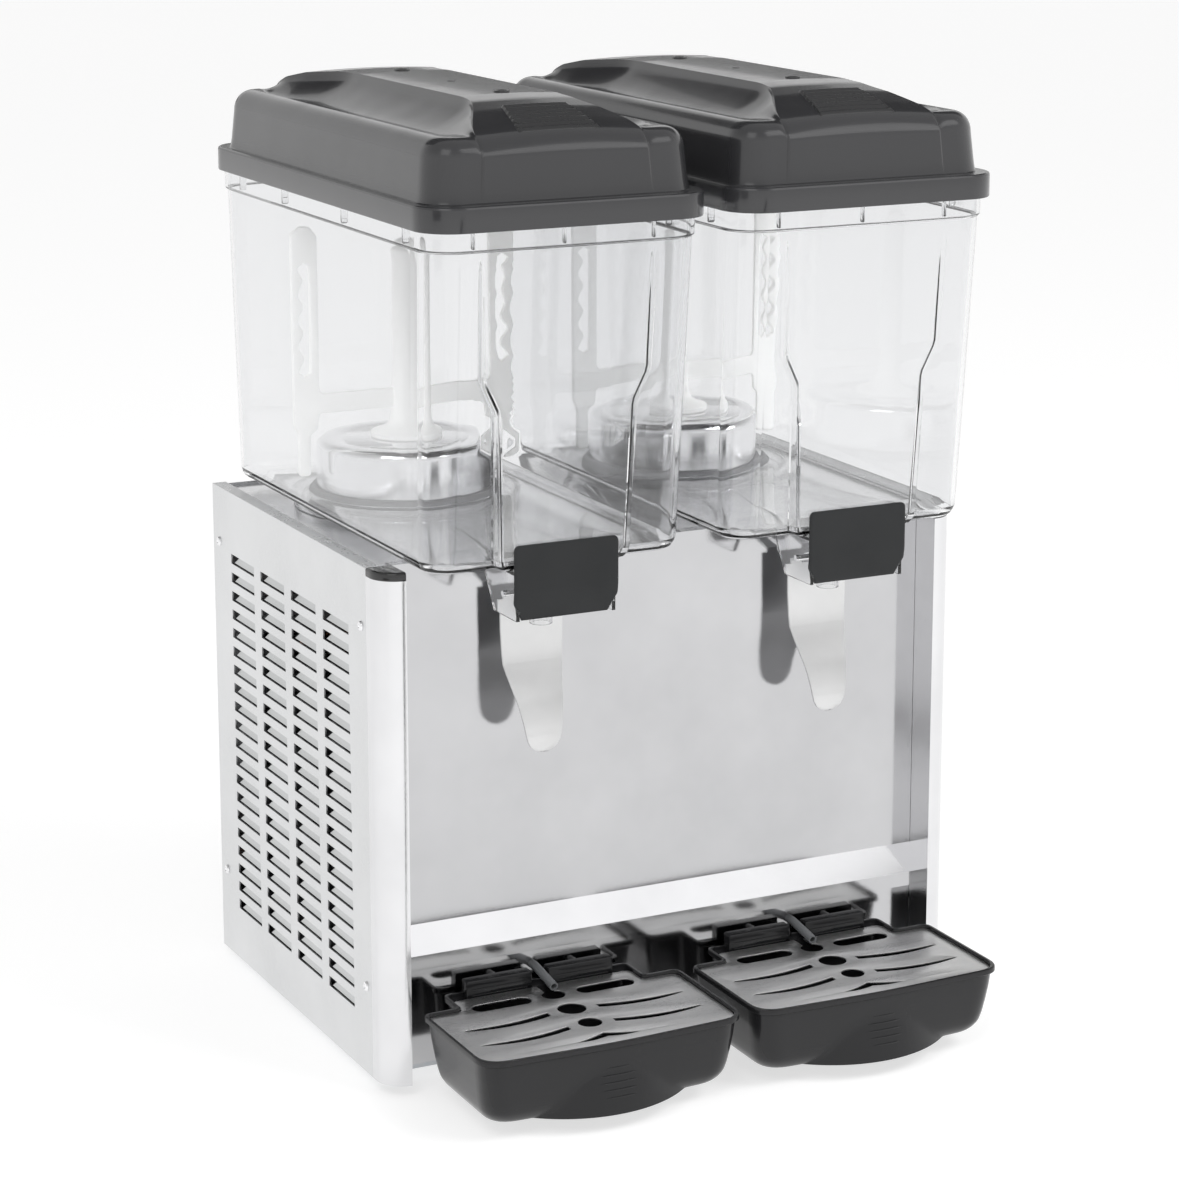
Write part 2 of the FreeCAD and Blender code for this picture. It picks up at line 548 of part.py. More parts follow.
def lever():
    """The push lever: a creased blade that tapers to a round tip, and two ears bent forward to its hinge."""
    centre, hinge_y, hinge_z = -value("bowl_x"), value("hinge_y"), value("hinge_z")
    skin = 1.5
    path = [(-18.7, 320), (-19.2, 277), (-33.0, 250), (-37.2, 236), (-36.4, 219)]
    back = [(y + skin, z) for y, z in reversed(path)]
    side_view = prism([Vector(centre - 30, y, z) for y, z in path + back], Vector(60, 0, 0))
    right = [(22.3, 320), (22.3, 300), (21.2, 276), (15.6, 250), (12.3, 231)]
    outline = [(centre + x, z) for x, z in right]
    edges = []
    tip_z = 219.3
    for (x1, z1), (x2, z2) in zip(right, right[1:]):
        edges.append(Part.LineSegment(Vector(centre + x1, -60, z1), Vector(centre + x2, -60, z2)).toShape())
        edges.append(Part.LineSegment(Vector(centre - x2, -60, z2), Vector(centre - x1, -60, z1)).toShape())
    low_x, low_z = right[-1]
    edges.append(Part.Arc(Vector(centre + low_x, -60, low_z), Vector(centre, -60, tip_z),
                          Vector(centre - low_x, -60, low_z)).toShape())
    edges.append(Part.LineSegment(Vector(centre - 22.3, -60, 320), Vector(centre + 22.3, -60, 320)).toShape())
    front_view = Part.Face(Part.Wire(Part.__sortEdges__(edges))).extrude(Vector(0, 60, 0))
    shape = side_view.common(front_view)
    ear_width, ear_inner = 8.0, 10.5
    for side in (-1, 1):
        low_x = centre + (ear_inner if side > 0 else -ear_inner - ear_width)
        ear = [(-18.7, 319), (-18.7 + skin, 319), (-18.7 + skin, 323.5), (-33, 326.9), (hinge_y, 331),
               (hinge_y, 329.5), (-33, 325.4), (-18.7, 322.3)]
        shape = shape.fuse(prism([Vector(low_x, y, z) for y, z in ear], Vector(ear_width, 0, 0)))
        barrel = Part.makeCylinder(4.2, ear_width, Vector(low_x, hinge_y, hinge_z), X)
        shape = shape.fuse(barrel)
        notch = Part.makeCylinder(1.4, 10, Vector(centre + side * 13, -25, 298), Y)
        cut = Part.makeBox(2.8, 10, 23, Vector(centre + side * 13 - 1.4, -25, 298))
        shape = shape.cut(notch).cut(cut.common(Part.makeBox(60, 60, 21, Vector(centre - 30, -60, 298))))
    bore = Part.makeCylinder(value("pin_rad") + value("running"), 80, Vector(centre - 40, hinge_y, hinge_z), X)
    mirrored(place(solid("lever", shape.cut(bore).removeSplitter()), "left_tap_lever"), "right_tap_lever")

    pin = rod("lever_pin", "pin_rad", "cheek_half * 2 + 2", ("-bowl_x - cheek_half - 1", "hinge_y", "hinge_z"), X)
    mirrored(finish(pin, "left_lever_pin"), "right_lever_pin")


def valve():
    stem = rod("valve_stem", "piston_rad", "bowl_low - cross_z + 5", ("-bowl_x", "outlet_y", "cross_z - 4"))
    head = rod("valve_head", "outlet_rad - 0.3", "wall", ("-bowl_x", "outlet_y", "bowl_low + 0.2"))
    cross = rod("valve_cross", "cross_rad", "cross_half * 2", ("-bowl_x - cross_half", "outlet_y", "cross_z"), X)
    mirrored(finish(joined("valve_piston", stem, head, cross), "left_valve_piston"), "right_valve_piston")
    wire, pitch, turns = 0.6, 3.2, 4.5
    start = Vector(-value("bowl_x"), value("outlet_y"), value("cross_z") + value("cross_rad") + wire + 0.3)
    spring = coil(wire, value("spout_rad") + wire + 0.7, pitch, turns, start)
    mirrored(place(solid("spring", spring), "left_valve_spring"), "right_valve_spring")


def lid():
    """A hollow lid: a rim over the bowl's collar, a domed body and a raised grip that runs front to back."""
    centre, skin = -value("bowl_x"), 2.5
    half, front, back = value("rim_half"), value("rim_front"), value("rim_back")
    low, shelf = value("rim_low"), value("rim_top")
    seat = value("bowl_top") + 0.2

    def dome(inset):
        return loft(rounded_rectangle(centre, 92 - inset, -75 + inset, 290 - inset, 20 - inset, shelf - inset),
                    rounded_rectangle(centre, 90.4 - inset, -72.5 + inset, 288 - inset, 20 - inset, 611 - inset),
                    rounded_rectangle(centre, 82 - inset, -62 + inset, 279 - inset, 14 - inset, 623 - inset))

    def grip(inset):
        top = value("lid_high") - inset
        return loft(rounded_rectangle(centre, 52 - inset, -70 + inset, 283 - inset, 4 - inset, 606 - inset),
                    rounded_rectangle(centre, 33 - inset, 0 + inset, 190 - inset, 4 - inset, top))

    rim = loft(rounded_rectangle(centre, half, front, back, 25, low),
               rounded_rectangle(centre, half, front, back, 25, shelf))
    pocket = loft(rounded_rectangle(centre, half - 2.3, front + 2.3, back - 2.3, 22.7, low),
                  rounded_rectangle(centre, half - 2.3, front + 2.3, back - 2.3, 22.7, seat))
    throat = loft(rounded_rectangle(centre, 89.5, -72.5, 287.5, 17.5, seat - 0.1),
                  rounded_rectangle(centre, 89.5, -72.5, 287.5, 17.5, shelf - skin + 0.01))
    shape = rim.fuse([dome(0), grip(0)])
    shape = shape.cut(pocket).cut(throat).cut(dome(skin)).cut(grip(skin))
    mirrored(place(solid("lid", shape.removeSplitter()), "left_lid"), "right_lid")


# ---------------------------------------------------------------- drip trays

def tray_outline(inset, z, neck_cut=0.0):
    """The tray's T-shaped plan: a neck at the rear, shoulders and a slightly bowed front."""
    centre, bow = -value("tray_x"), 4.0
    half, front = value("tray_half") - inset, value("tray_front") + inset
    back = value("tray_back") - inset - neck_cut
    shoulder, neck = -31.0 - inset, 68.5 - inset
    points = [(-half, front + bow), (0, front), (half, front + bow), (half, shoulder), (neck, shoulder),
              (neck, back), (-neck, back), (-neck, shoulder), (-half, shoulder)]
    radii = [17, 600, 17, 7, 4, 6, 6, 4, 7]
    return rounded_wire([(centre + x, y) for x, y in points], radii, z)


def tray_belly(low, high, cut):
    """The crescent that swells out of the front wall towards the tray's foot."""
    wide = value("belly_rad") - cut
    axis = Vector(-value("tray_x"), value("belly_front") + value("belly_rad"), low)
    cone = Part.makeCone(wide, wide - value("belly_draft"), high - low, axis)
    return cone.common(Part.makeBox(wide * 2, 36, high - low, axis - Vector(wide, value("belly_rad") + 1, 0)))


def tray():
    low, top, centre = value("tray_low"), value("tray_top"), -value("tray_x")
    outside = loft(tray_outline(12, low), tray_outline(7, low + 7), tray_outline(1.8, top - 4))
    outside = outside.fuse(tray_belly(low, top - 5, 0))
    rim = loft(tray_outline(0, top - 4), tray_outline(0, top))
    inside = loft(tray_outline(14.5, low + 2.5), tray_outline(9.5, low + 9), tray_outline(4.4, top - 3.4))
    inside = inside.fuse(tray_belly(low + 2.5, top - 7, 2.6))
    seat = loft(tray_outline(2.2, top - 3.4), tray_outline(2.2, top))
    shape = outside.fuse(rim).cut(inside).cut(seat)
    gap, reach, deep, height, thick = 6.0, 54.0, 8.0, 60.4, 2.0
    front = value("tray_back") - deep
    for side in (-1, 1):
        low_x = centre + (gap if side > 0 else -reach)
        block = Part.makeBox(reach - gap, deep, height - top + 6, Vector(low_x, front, top - 6))
        hollow = Part.makeBox(reach - gap - thick * 2, deep, height - top,
                              Vector(low_x + thick, front + thick, top - thick))
        peg_base = Vector(centre + side * value("peg_x"), front + thick / 2, value("peg_z"))
        peg = Part.makeCylinder(value("peg_rad"), deep + 16, peg_base, Y)
        shape = shape.fuse(block.cut(hollow)).fuse(peg)
    mirrored(place(solid("tray", shape.removeSplitter()), "left_drip_tray"), "right_drip_tray")


def long_slot(centre_x, y, low, thick, start, stop, half):
    """A slot with round ends along X."""
    x1, x2 = centre_x + min(start, stop) + half, centre_x + max(start, stop) - half
    bar = Part.makeBox(x2 - x1, half * 2, thick, Vector(x1, y - half, low))
    return bar.fuse([Part.makeCylinder(half, thick, Vector(x, y, low)) for x in (x1, x2)])


def swept_slot(centre_x, side, low, thick, outer, inner, sag, width):
    """A slot that tapers from its inner end to a point at its outer end, bowed towards the front."""
    (x1, y1), (x2, y2) = outer, inner
    middle = Vector(centre_x + side * (x1 + x2) / 2, (y1 + y2) / 2 - sag, low)
    start, stop = Vector(centre_x + side * x1, y1, low), Vector(centre_x + side * x2, y2, low)
    back_stop = stop + Vector(0, width, 0)
    edges = [Part.Arc(start, middle, stop).toShape(), Part.LineSegment(stop, back_stop).toShape(),
             Part.Arc(back_stop, middle + Vector(0, width * 0.8, 0), start).toShape()]
    return Part.Face(Part.Wire(edges)).extrude(Vector(0, 0, thick))


def grille():
    """The perforated steel plate that lies in the tray."""
    centre, low, thick = -value("tray_x"), value("tray_top") - 3.3, 1.2
    shape = loft(tray_outline(2.7, low, 7.1), tray_outline(2.7, low + thick, 7.1))
    keyway = Part.makeBox(7.4, 24, thick, Vector(centre - 3.7, -33, low))
    holes = [Part.makeCylinder(radius, thick, Vector(centre, y, low))
             for y, radius in ((-33, 8), (-61, 9.6), (-88, 8))]
    for side in (-1, 1):
        holes.append(long_slot(centre, -34, low, thick, side * 17, side * 59, 6.3))
        holes.append(swept_slot(centre, side, low, thick, (81, -66), (17.5, -67), 5, 6))
        holes.append(swept_slot(centre, side, low, thick, (81, -93), (16, -93.5), 5.5, 5.6))
        holes.append(swept_slot(centre, side, low, thick, (25, -115), (0, -113.5), -0.6, 6.5))
    shape = shape.cut(holes + [keyway])
    mirrored(place(solid("grille", shape.removeSplitter()), "left_tray_grille"), "right_tray_grille")

    tubes = []
    for side in (-1, 1):
        x, radius, z = side * value("tray_x"), value("drain_rad"), value("drain_z")
        run = [(x, 12, z), (x, -6, z), (x, -34, z - 4.6)]
        bar = tube_along(run, radius - 0.05, 14)
        tubes.append(bar.cut(tube_along(run, radius - 1, 14)))
    place(solid("drains", Part.makeCompound(tubes)), "drain_tubes")


# ---------------------------------------------------------------- refrigeration

def condenser():
    x_low, x_high, y_low, y_high, z_low, z_high = -204.0, -178.0, 42.0, 242.0, 18.0, 246.0
    fins = [Part.makeBox(x_high - x_low, 0.6, z_high - z_low, Vector(x_low, y_low + 4 + step * 8, z_low))
            for step in range(25)]
    ends = [Part.makeBox(x_high - x_low, 1.5, z_high - z_low + 8, Vector(x_low, y, z_low - 4))
            for y in (y_low, y_high - 1.5)]
    tubes = [Part.makeCylinder(4, y_high - y_low, Vector(x, y_low, z_low + 16 + row * 28), Y)
             for row in range(8) for x in (-197, -185)]
    shape = tubes[0].fuse(tubes[1:] + fins + ends)
    place(solid("condenser", shape.removeSplitter()), "condenser_coil")


def fan():
    y, z, radius = value("fan_y"), value("fan_z"), value("fan_rad")
    hood = Part.makeBox(24, 196, 224, Vector(-177.5, y - 98, z - 112))
    hood = hood.cut(Part.makeBox(22.5, 193, 221, Vector(-177.5, y - 96.5, z - 110.5)))
    hood = hood.cut(Part.makeCylinder(radius + 4, 30, Vector(-180, y, z), X))
    legs = [Part.makeBox(12, 12, z - 112 - value("pan_skin"), Vector(-170, depth, value("pan_skin")))
            for depth in (y - 90, y + 78)]
    place(solid("hood", hood.fuse(legs).removeSplitter()), "fan_shroud")

    can = Part.makeCylinder(32, 44, Vector(-124, y, z), X)
    shaft = Part.makeCylinder(3, 26, Vector(-150, y, z), X)
    shape = can.fuse(shaft)
    for step in range(3):
        turn = math.radians(90 + step * 120)
        reach = 92.0
        foot = Vector(-153.5, y + reach * math.cos(turn), z + reach * math.sin(turn))
        leg = Part.makeCylinder(4, 40, foot, X)
        start = Vector(-118, y + 28 * math.cos(turn), z + 28 * math.sin(turn))
        spoke = Part.makeCylinder(3, reach - 28, start, Vector(0, math.cos(turn), math.sin(turn)))
        shape = shape.fuse([leg, spoke])
    place(solid("fan_drive", shape.removeSplitter()), "fan_motor")

    blades = Part.makeCylinder(18, 16, Vector(-148, y, z), X)
    for step in range(5):
        blade = Part.makeBox(2, radius - 14, 34, Vector(-141, 14, -17))
        blade.rotate(Vector(-140, 0, 0), Y, 32)
        blade.rotate(Vector(-140, 0, 0), X, step * 72)
        blade.translate(Vector(0, y, z))
        blades = blades.fuse(blade)
    blades = blades.cut(Part.makeCylinder(3 + value("running"), 40, Vector(-160, y, z), X))
    place(solid("fan", blades.removeSplitter()), "fan_blade")


def compressor():
    x, y, radius = value("pump_x"), value("pump_y"), value("pump_rad")
    can = Part.makeCylinder(radius, 148, Vector(x, y, 14))
    rounded = [edge for edge in can.Edges if abs(edge.BoundBox.ZLength) < 0.01]
    can = can.makeFillet(16, rounded)
    seam = Part.makeCylinder(radius + 2, 4, Vector(x, y, 86))
    plate = Part.makeBox(170, 110, 3, Vector(x - 85, y - 55, 14))
    grommets = [Part.makeCylinder(8, 14 - value("pan_skin"), Vector(x + side * 72, y + depth * 42, value("pan_skin")))
                for side in (-1, 1) for depth in (-1, 1)]
    terminal = Part.makeBox(44, 20, 40, Vector(x - 22, y - radius - 14, 60))
    place(solid("pump", can.fuse([seam, plate, terminal] + grommets).removeSplitter()), "compressor")

    drier = Part.makeCylinder(9, 80, Vector(20, 262, 100))
    drier = drier.makeFillet(6, [edge for edge in drier.Edges if abs(edge.BoundBox.ZLength) < 0.01])
    place(solid("drier", drier), "filter_drier")

    discharge = [(35, y, 110), (-40, y, 110), (-40, y, 256), (-191, y, 256), (-191, y, 246.1)]
    liquid = [(-191, 242.1, 60), (-191, 262, 60), (20, 262, 60), (20, 262, 100)]
    feed = [(20, 262, 180), (20, 262, 300), (-62, 262, 300), (-62, 200, 300), (-62, 200, 327)]
    suction = [(62, 185, 162), (62, 185, 200), (62, 185, 327)]
    pipes = [tube_along(run, 2.5, 5) for run in (discharge, liquid, feed)]
    pipes.append(Part.makeCylinder(3.5, suction[-1][2] - suction[0][2], Vector(*suction[0])))
    place(solid("pipes", Part.makeCompound(pipes)), "refrigerant_pipes")


# ---------------------------------------------------------------- rear controls

def controls():
    outer = box("control_outer", ("rocker_x - 42", "rocker_x + 42"), ("cab_d - skin - 42", "cab_d - skin"),
                ("knob_z - 25", "rocker_z + 20"))
    inner = box("control_inner", ("rocker_x - 40", "rocker_x + 40"), ("cab_d - skin - 40", "cab_d - skin"),
                ("knob_z - 23", "rocker_z + 18"))
    finish(less("control_shell", outer, inner), "control_box")

    bezel = box("bezel_plate", ("rocker_x - 38", "rocker_x + 38"), ("cab_d", "cab_d + 2"),
                ("rocker_z - 15", "rocker_z + 15"))
    windows = [box("bezel_window", (f"rocker_x + {step} * rocker_step - 6.7", f"rocker_x + {step} * rocker_step + 6.7"),
                   ("cab_d - 1", "cab_d + 4"), ("rocker_z - 10.2", "rocker_z + 10.2")) for step in (-1, 0, 1)]
    finish(less("bezel", bezel, *windows), "switch_bezel")

    names = {-1: "left_stir_rocker", 0: "right_stir_rocker", 1: "power_rocker"}
    for step, label in names.items():
        x = value("rocker_x") + step * value("rocker_step")
        y, z = value("cab_d") - 3, value("rocker_z")
        outline = [(0, -8), (6.5, -9), (6.0, 0), (6.5, 9), (0, 8), (-5, 3), (-5, -3)]
        shape = prism([Vector(x - 6.2, y + dy, z + dz) for dy, dz in outline], Vector(12.4, 0, 0))
        shape = shape.fuse(Part.makeCylinder(1.2, 15, Vector(x - 7.5, y, z), X))
        shape.rotate(Vector(x, y, z), X, -7)
        place(solid("rocker", shape), label)

    knob = rod("knob_grip", "14", "11", ("rocker_x", "cab_d + 0.6", "knob_z"), Y)
    stem = rod("knob_stem", "shaft_rad", "24", ("rocker_x", "cab_d - 22", "knob_z"), Y)
    mark = box("knob_mark", ("rocker_x - 1", "rocker_x + 1"), ("cab_d + 10.6", "cab_d + 13"), ("knob_z + 3", "knob_z + 13"))
    finish(joined("knob", knob, stem, mark), "thermostat_knob")

    flange = box("inlet_flange", ("inlet_x - 25", "inlet_x + 25"), ("cab_d", "cab_d + 3"), ("inlet_z - 14", "inlet_z + 14"))
    barrel = box("inlet_barrel", ("inlet_x - 13.8", "inlet_x + 13.8"), ("cab_d - 22", "cab_d + 1"),
                 ("inlet_z - 9.8", "inlet_z + 9.8"))
    cavity = box("inlet_cavity", ("inlet_x - 12", "inlet_x + 12"), ("cab_d - 16", "cab_d + 4"), ("inlet_z - 8", "inlet_z + 8"))
    socket = less("inlet_socket", joined("inlet_blank", flange, barrel), cavity)
    pins = [box("inlet_pin", (f"inlet_x + {x} - 1", f"inlet_x + {x} + 1"), ("cab_d - 18", "cab_d - 2"),
                (f"inlet_z + {z} - 2", f"inlet_z + {z} + 2")) for x, z in ((-7, -3), (0, -1), (7, -3))]
    finish(joined("inlet", socket, *pins), "power_inlet")


def build():
    cabinet_panels()
    side_panels()
    rear_panel()
    posts_and_caps()
    feet_and_screws()
    drums()
    stirrer_drives()
    agitator()
    bowl()
    tap_body()
    tap_cover()
    lever()
    valve()
    lid()
    tray()
    grille()
    condenser()
    fan()
    compressor()
    controls()


def check_and_write():
    doc.recompute()
    for item in doc.Objects:
        if "Invalid" in item.State or "Error" in item.State:
            raise RuntimeError(f"{item.Label} did not compute: {item.State}")
    broken = [node.Label for node in nodes if node.Shape.isNull() or not node.Shape.isValid()]
    if broken:
        raise RuntimeError(f"no valid shape: {broken}")
    os.makedirs("parts", exist_ok=True)
    for node in nodes:
        node.Shape.exportStep(f"parts/{node.Label}.step")
    total = FreeCAD.BoundBox()
    for node in nodes:
        total.add(node.Shape.BoundBox)
    print(len(nodes), "sub-parts;", "low", [round(v, 2) for v in (total.XMin, total.YMin, total.ZMin)],
          "high", [round(v, 2) for v in (total.XMax, total.YMax, total.ZMax)])


build()
check_and_write()
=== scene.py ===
"""Looks for the twin-bowl drink dispenser: detailed pieces, materials, studio and camera.

Lengths are in millimetres in the cabinet's own layout: x from the middle, y from the front panel's
face towards the back, z from the cabinet's bottom edge. spot() turns them into the frame's metres.
"""
from math import atan2, copysign, cos, dist, exp, hypot, log, pi, radians, sin, sqrt, tan
from types import SimpleNamespace as Sizes

import bmesh
import bpy
from mathutils import Matrix, Vector


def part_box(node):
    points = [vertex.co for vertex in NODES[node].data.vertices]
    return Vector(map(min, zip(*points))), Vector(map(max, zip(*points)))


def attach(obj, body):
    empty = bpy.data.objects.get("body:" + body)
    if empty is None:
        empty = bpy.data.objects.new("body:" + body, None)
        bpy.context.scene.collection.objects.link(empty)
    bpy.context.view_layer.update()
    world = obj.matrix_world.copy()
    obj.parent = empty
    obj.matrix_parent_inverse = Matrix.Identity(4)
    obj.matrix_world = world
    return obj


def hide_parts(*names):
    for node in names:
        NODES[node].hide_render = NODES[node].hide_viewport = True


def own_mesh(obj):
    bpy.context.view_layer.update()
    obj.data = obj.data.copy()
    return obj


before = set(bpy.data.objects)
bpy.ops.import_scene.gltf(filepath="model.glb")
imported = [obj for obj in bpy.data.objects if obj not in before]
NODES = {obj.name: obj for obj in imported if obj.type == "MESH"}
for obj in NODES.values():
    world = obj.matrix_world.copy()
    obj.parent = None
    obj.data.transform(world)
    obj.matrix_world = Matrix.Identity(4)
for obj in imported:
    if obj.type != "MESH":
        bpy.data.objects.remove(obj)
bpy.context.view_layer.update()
PANEL_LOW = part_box("left_side_panel")[0]
BOWL_X = (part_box("right_bowl")[0].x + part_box("right_bowl")[1].x) * 500
TRAY_X = (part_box("right_drip_tray")[0].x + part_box("right_drip_tray")[1].x) * 500
DRUM_Y = 185.0
SIDES = (("left", -1), ("right", 1))


def spot(x, y, z):
    return Vector((x / 1000, y / 1000 + PANEL_LOW.y, z / 1000 + PANEL_LOW.z))


def smooth(t):
    t = min(max(t, 0.0), 1.0)
    return t * t * (3 - 2 * t)


def mix(a, b, t):
    return a + (b - a) * t


def between(start, end, t):
    """Mixes two points or two rows of measures."""
    return [mix(a, b, t) for a, b in zip(start, end)]


def around(loop):
    """Each item of a closed loop with the next one."""
    return zip(loop, loop[1:] + loop[:1])


def table(stops, at):
    """The value at a position between stops, joined by straight lines."""
    if at <= stops[0][0]:
        return stops[0][1]
    for (p0, v0), (p1, v1) in zip(stops, stops[1:]):
        if at <= p1:
            return mix(v0, v1, (at - p0) / (p1 - p0))
    return stops[-1][1]


# ---------------------------- materials

class Nodes:
    """A small helper for building a node material."""

    def __init__(self, name):
        self.material = bpy.data.materials.new(name)
        self.material.use_nodes = True
        self.tree = self.material.node_tree
        self.tree.nodes.clear()
        self.output = self.add("ShaderNodeOutputMaterial")
        self.shader = self.add("ShaderNodeBsdfPrincipled")
        self.link(self.shader.outputs[0], self.output.inputs[0])
        self.coordinates = self.add("ShaderNodeTexCoord").outputs["Object"]

    def add(self, kind, **values):
        node = self.tree.nodes.new(kind)
        for key, value in values.items():
            setattr(node, key, value)
        return node

    def link(self, start, end):
        self.tree.links.new(start, end)

    def set(self, **values):
        for key, value in values.items():
            self.shader.inputs[key.replace("_", " ")].default_value = value

    def noise(self, scale, detail=2.0, stretch=(1, 1, 1), roughness=0.5):
        mapping = self.add("ShaderNodeMapping")
        mapping.inputs["Scale"].default_value = stretch
        self.link(self.coordinates, mapping.inputs["Vector"])
        node = self.add("ShaderNodeTexNoise")
        node.inputs["Scale"].default_value = scale
        node.inputs["Detail"].default_value = detail
        node.inputs["Roughness"].default_value = roughness
        self.link(mapping.outputs[0], node.inputs["Vector"])
        return node.outputs["Fac"]

    def ramp(self, source, low, high, start=0.0, end=1.0):
        node = self.add("ShaderNodeMapRange")
        limits = {"From Min": start, "From Max": end, "To Min": low, "To Max": high}
        for key, value in limits.items():
            node.inputs[key].default_value = value
        self.link(source, node.inputs["Value"])
        return node.outputs[0]

    def colours(self, source, dark, light):
        node = self.add("ShaderNodeMix", data_type="RGBA")
        self.link(source, node.inputs[0])
        node.inputs[6].default_value = (*dark, 1)
        node.inputs[7].default_value = (*light, 1)
        return node.outputs[2]

    def bump(self, source, strength, distance):
        node = self.add("ShaderNodeBump")
        node.inputs["Strength"].default_value = strength
        node.inputs["Distance"].default_value = distance
        self.link(source, node.inputs["Height"])
        self.link(node.outputs[0], self.shader.inputs["Normal"])


def moulded(name, dark, light, rough_low, rough_high, grain=2600.0, depth=0.00004, coat=0.0,
            level=0.5, glow=0.0):
    """Moulded plastic: fine grain and cloudy gloss. glow is painted light: an emission that brightens
    a part where little light reaches it.
    """
    m = Nodes(name)
    cloud = m.noise(9.0, 3.0)
    m.link(m.colours(cloud, dark, light), m.shader.inputs["Base Color"])
    m.link(m.ramp(m.noise(34.0, 4.0), rough_low, rough_high, 0.3, 0.7), m.shader.inputs["Roughness"])
    if depth:
        m.bump(m.noise(grain, 1.0), 0.5, depth)
    m.set(IOR=1.5, Specular_IOR_Level=level, Coat_Weight=coat, Coat_Roughness=0.06)
    m.set(Emission_Color=(*light, 1), Emission_Strength=glow)
    return m.material


def sheet_metal(name, dark, light, rough_low, rough_high, stretch=(1, 1, 1), scale=300.0,
                depth=0.000004, wave=0.0, cloud=(1, 1, 1)):
    """Sheet metal: fine lines along the rolling direction, faint smudges and a slow waviness."""
    m = Nodes(name)
    lines = m.noise(scale, 2.0, stretch)
    smudge = m.noise(11.0, 4.0, cloud, 0.6)
    m.link(m.colours(m.ramp(smudge, 0, 1, 0.3, 0.7), dark, light), m.shader.inputs["Base Color"])
    both = m.add("ShaderNodeMath", operation="ADD")
    m.link(m.ramp(lines, -0.5, 0.5), both.inputs[0])
    m.link(smudge, both.inputs[1])
    m.link(m.ramp(both.outputs[0], rough_low, rough_high, 0.2, 0.8), m.shader.inputs["Roughness"])
    height = lines
    if wave:
        total = m.add("ShaderNodeMath", operation="MULTIPLY_ADD")
        m.link(m.noise(7.0, 1.0), total.inputs[0])
        total.inputs[1].default_value = wave
        m.link(lines, total.inputs[2])
        height = total.outputs[0]
    m.bump(height, 1.0, depth)
    m.set(Metallic=1.0)
    return m.material


def clear_plastic(name, tint, rough):
    """Clear polycarbonate: it refracts, has faint moulding marks and casts almost no shadow."""
    m = Nodes(name)
    m.set(Base_Color=(*tint, 1), IOR=1.49, Transmission_Weight=1.0, Specular_IOR_Level=0.5)
    m.link(m.ramp(m.noise(60.0, 3.0), rough, rough * 3, 0.35, 0.75), m.shader.inputs["Roughness"])
    m.bump(m.noise(16.0, 2.0, (1, 1, 0.35)), 0.25, 0.0004)
    through = m.add("ShaderNodeBsdfTransparent")
    through.inputs[0].default_value = (0.97, 0.975, 0.98, 1)
    path = m.add("ShaderNodeLightPath")
    blend = m.add("ShaderNodeMixShader")
    m.link(path.outputs["Is Shadow Ray"], blend.inputs[0])
    m.link(m.shader.outputs[0], blend.inputs[1])
    m.link(through.outputs[0], blend.inputs[2])
    m.link(blend.outputs[0], m.output.inputs[0])
    return m.material


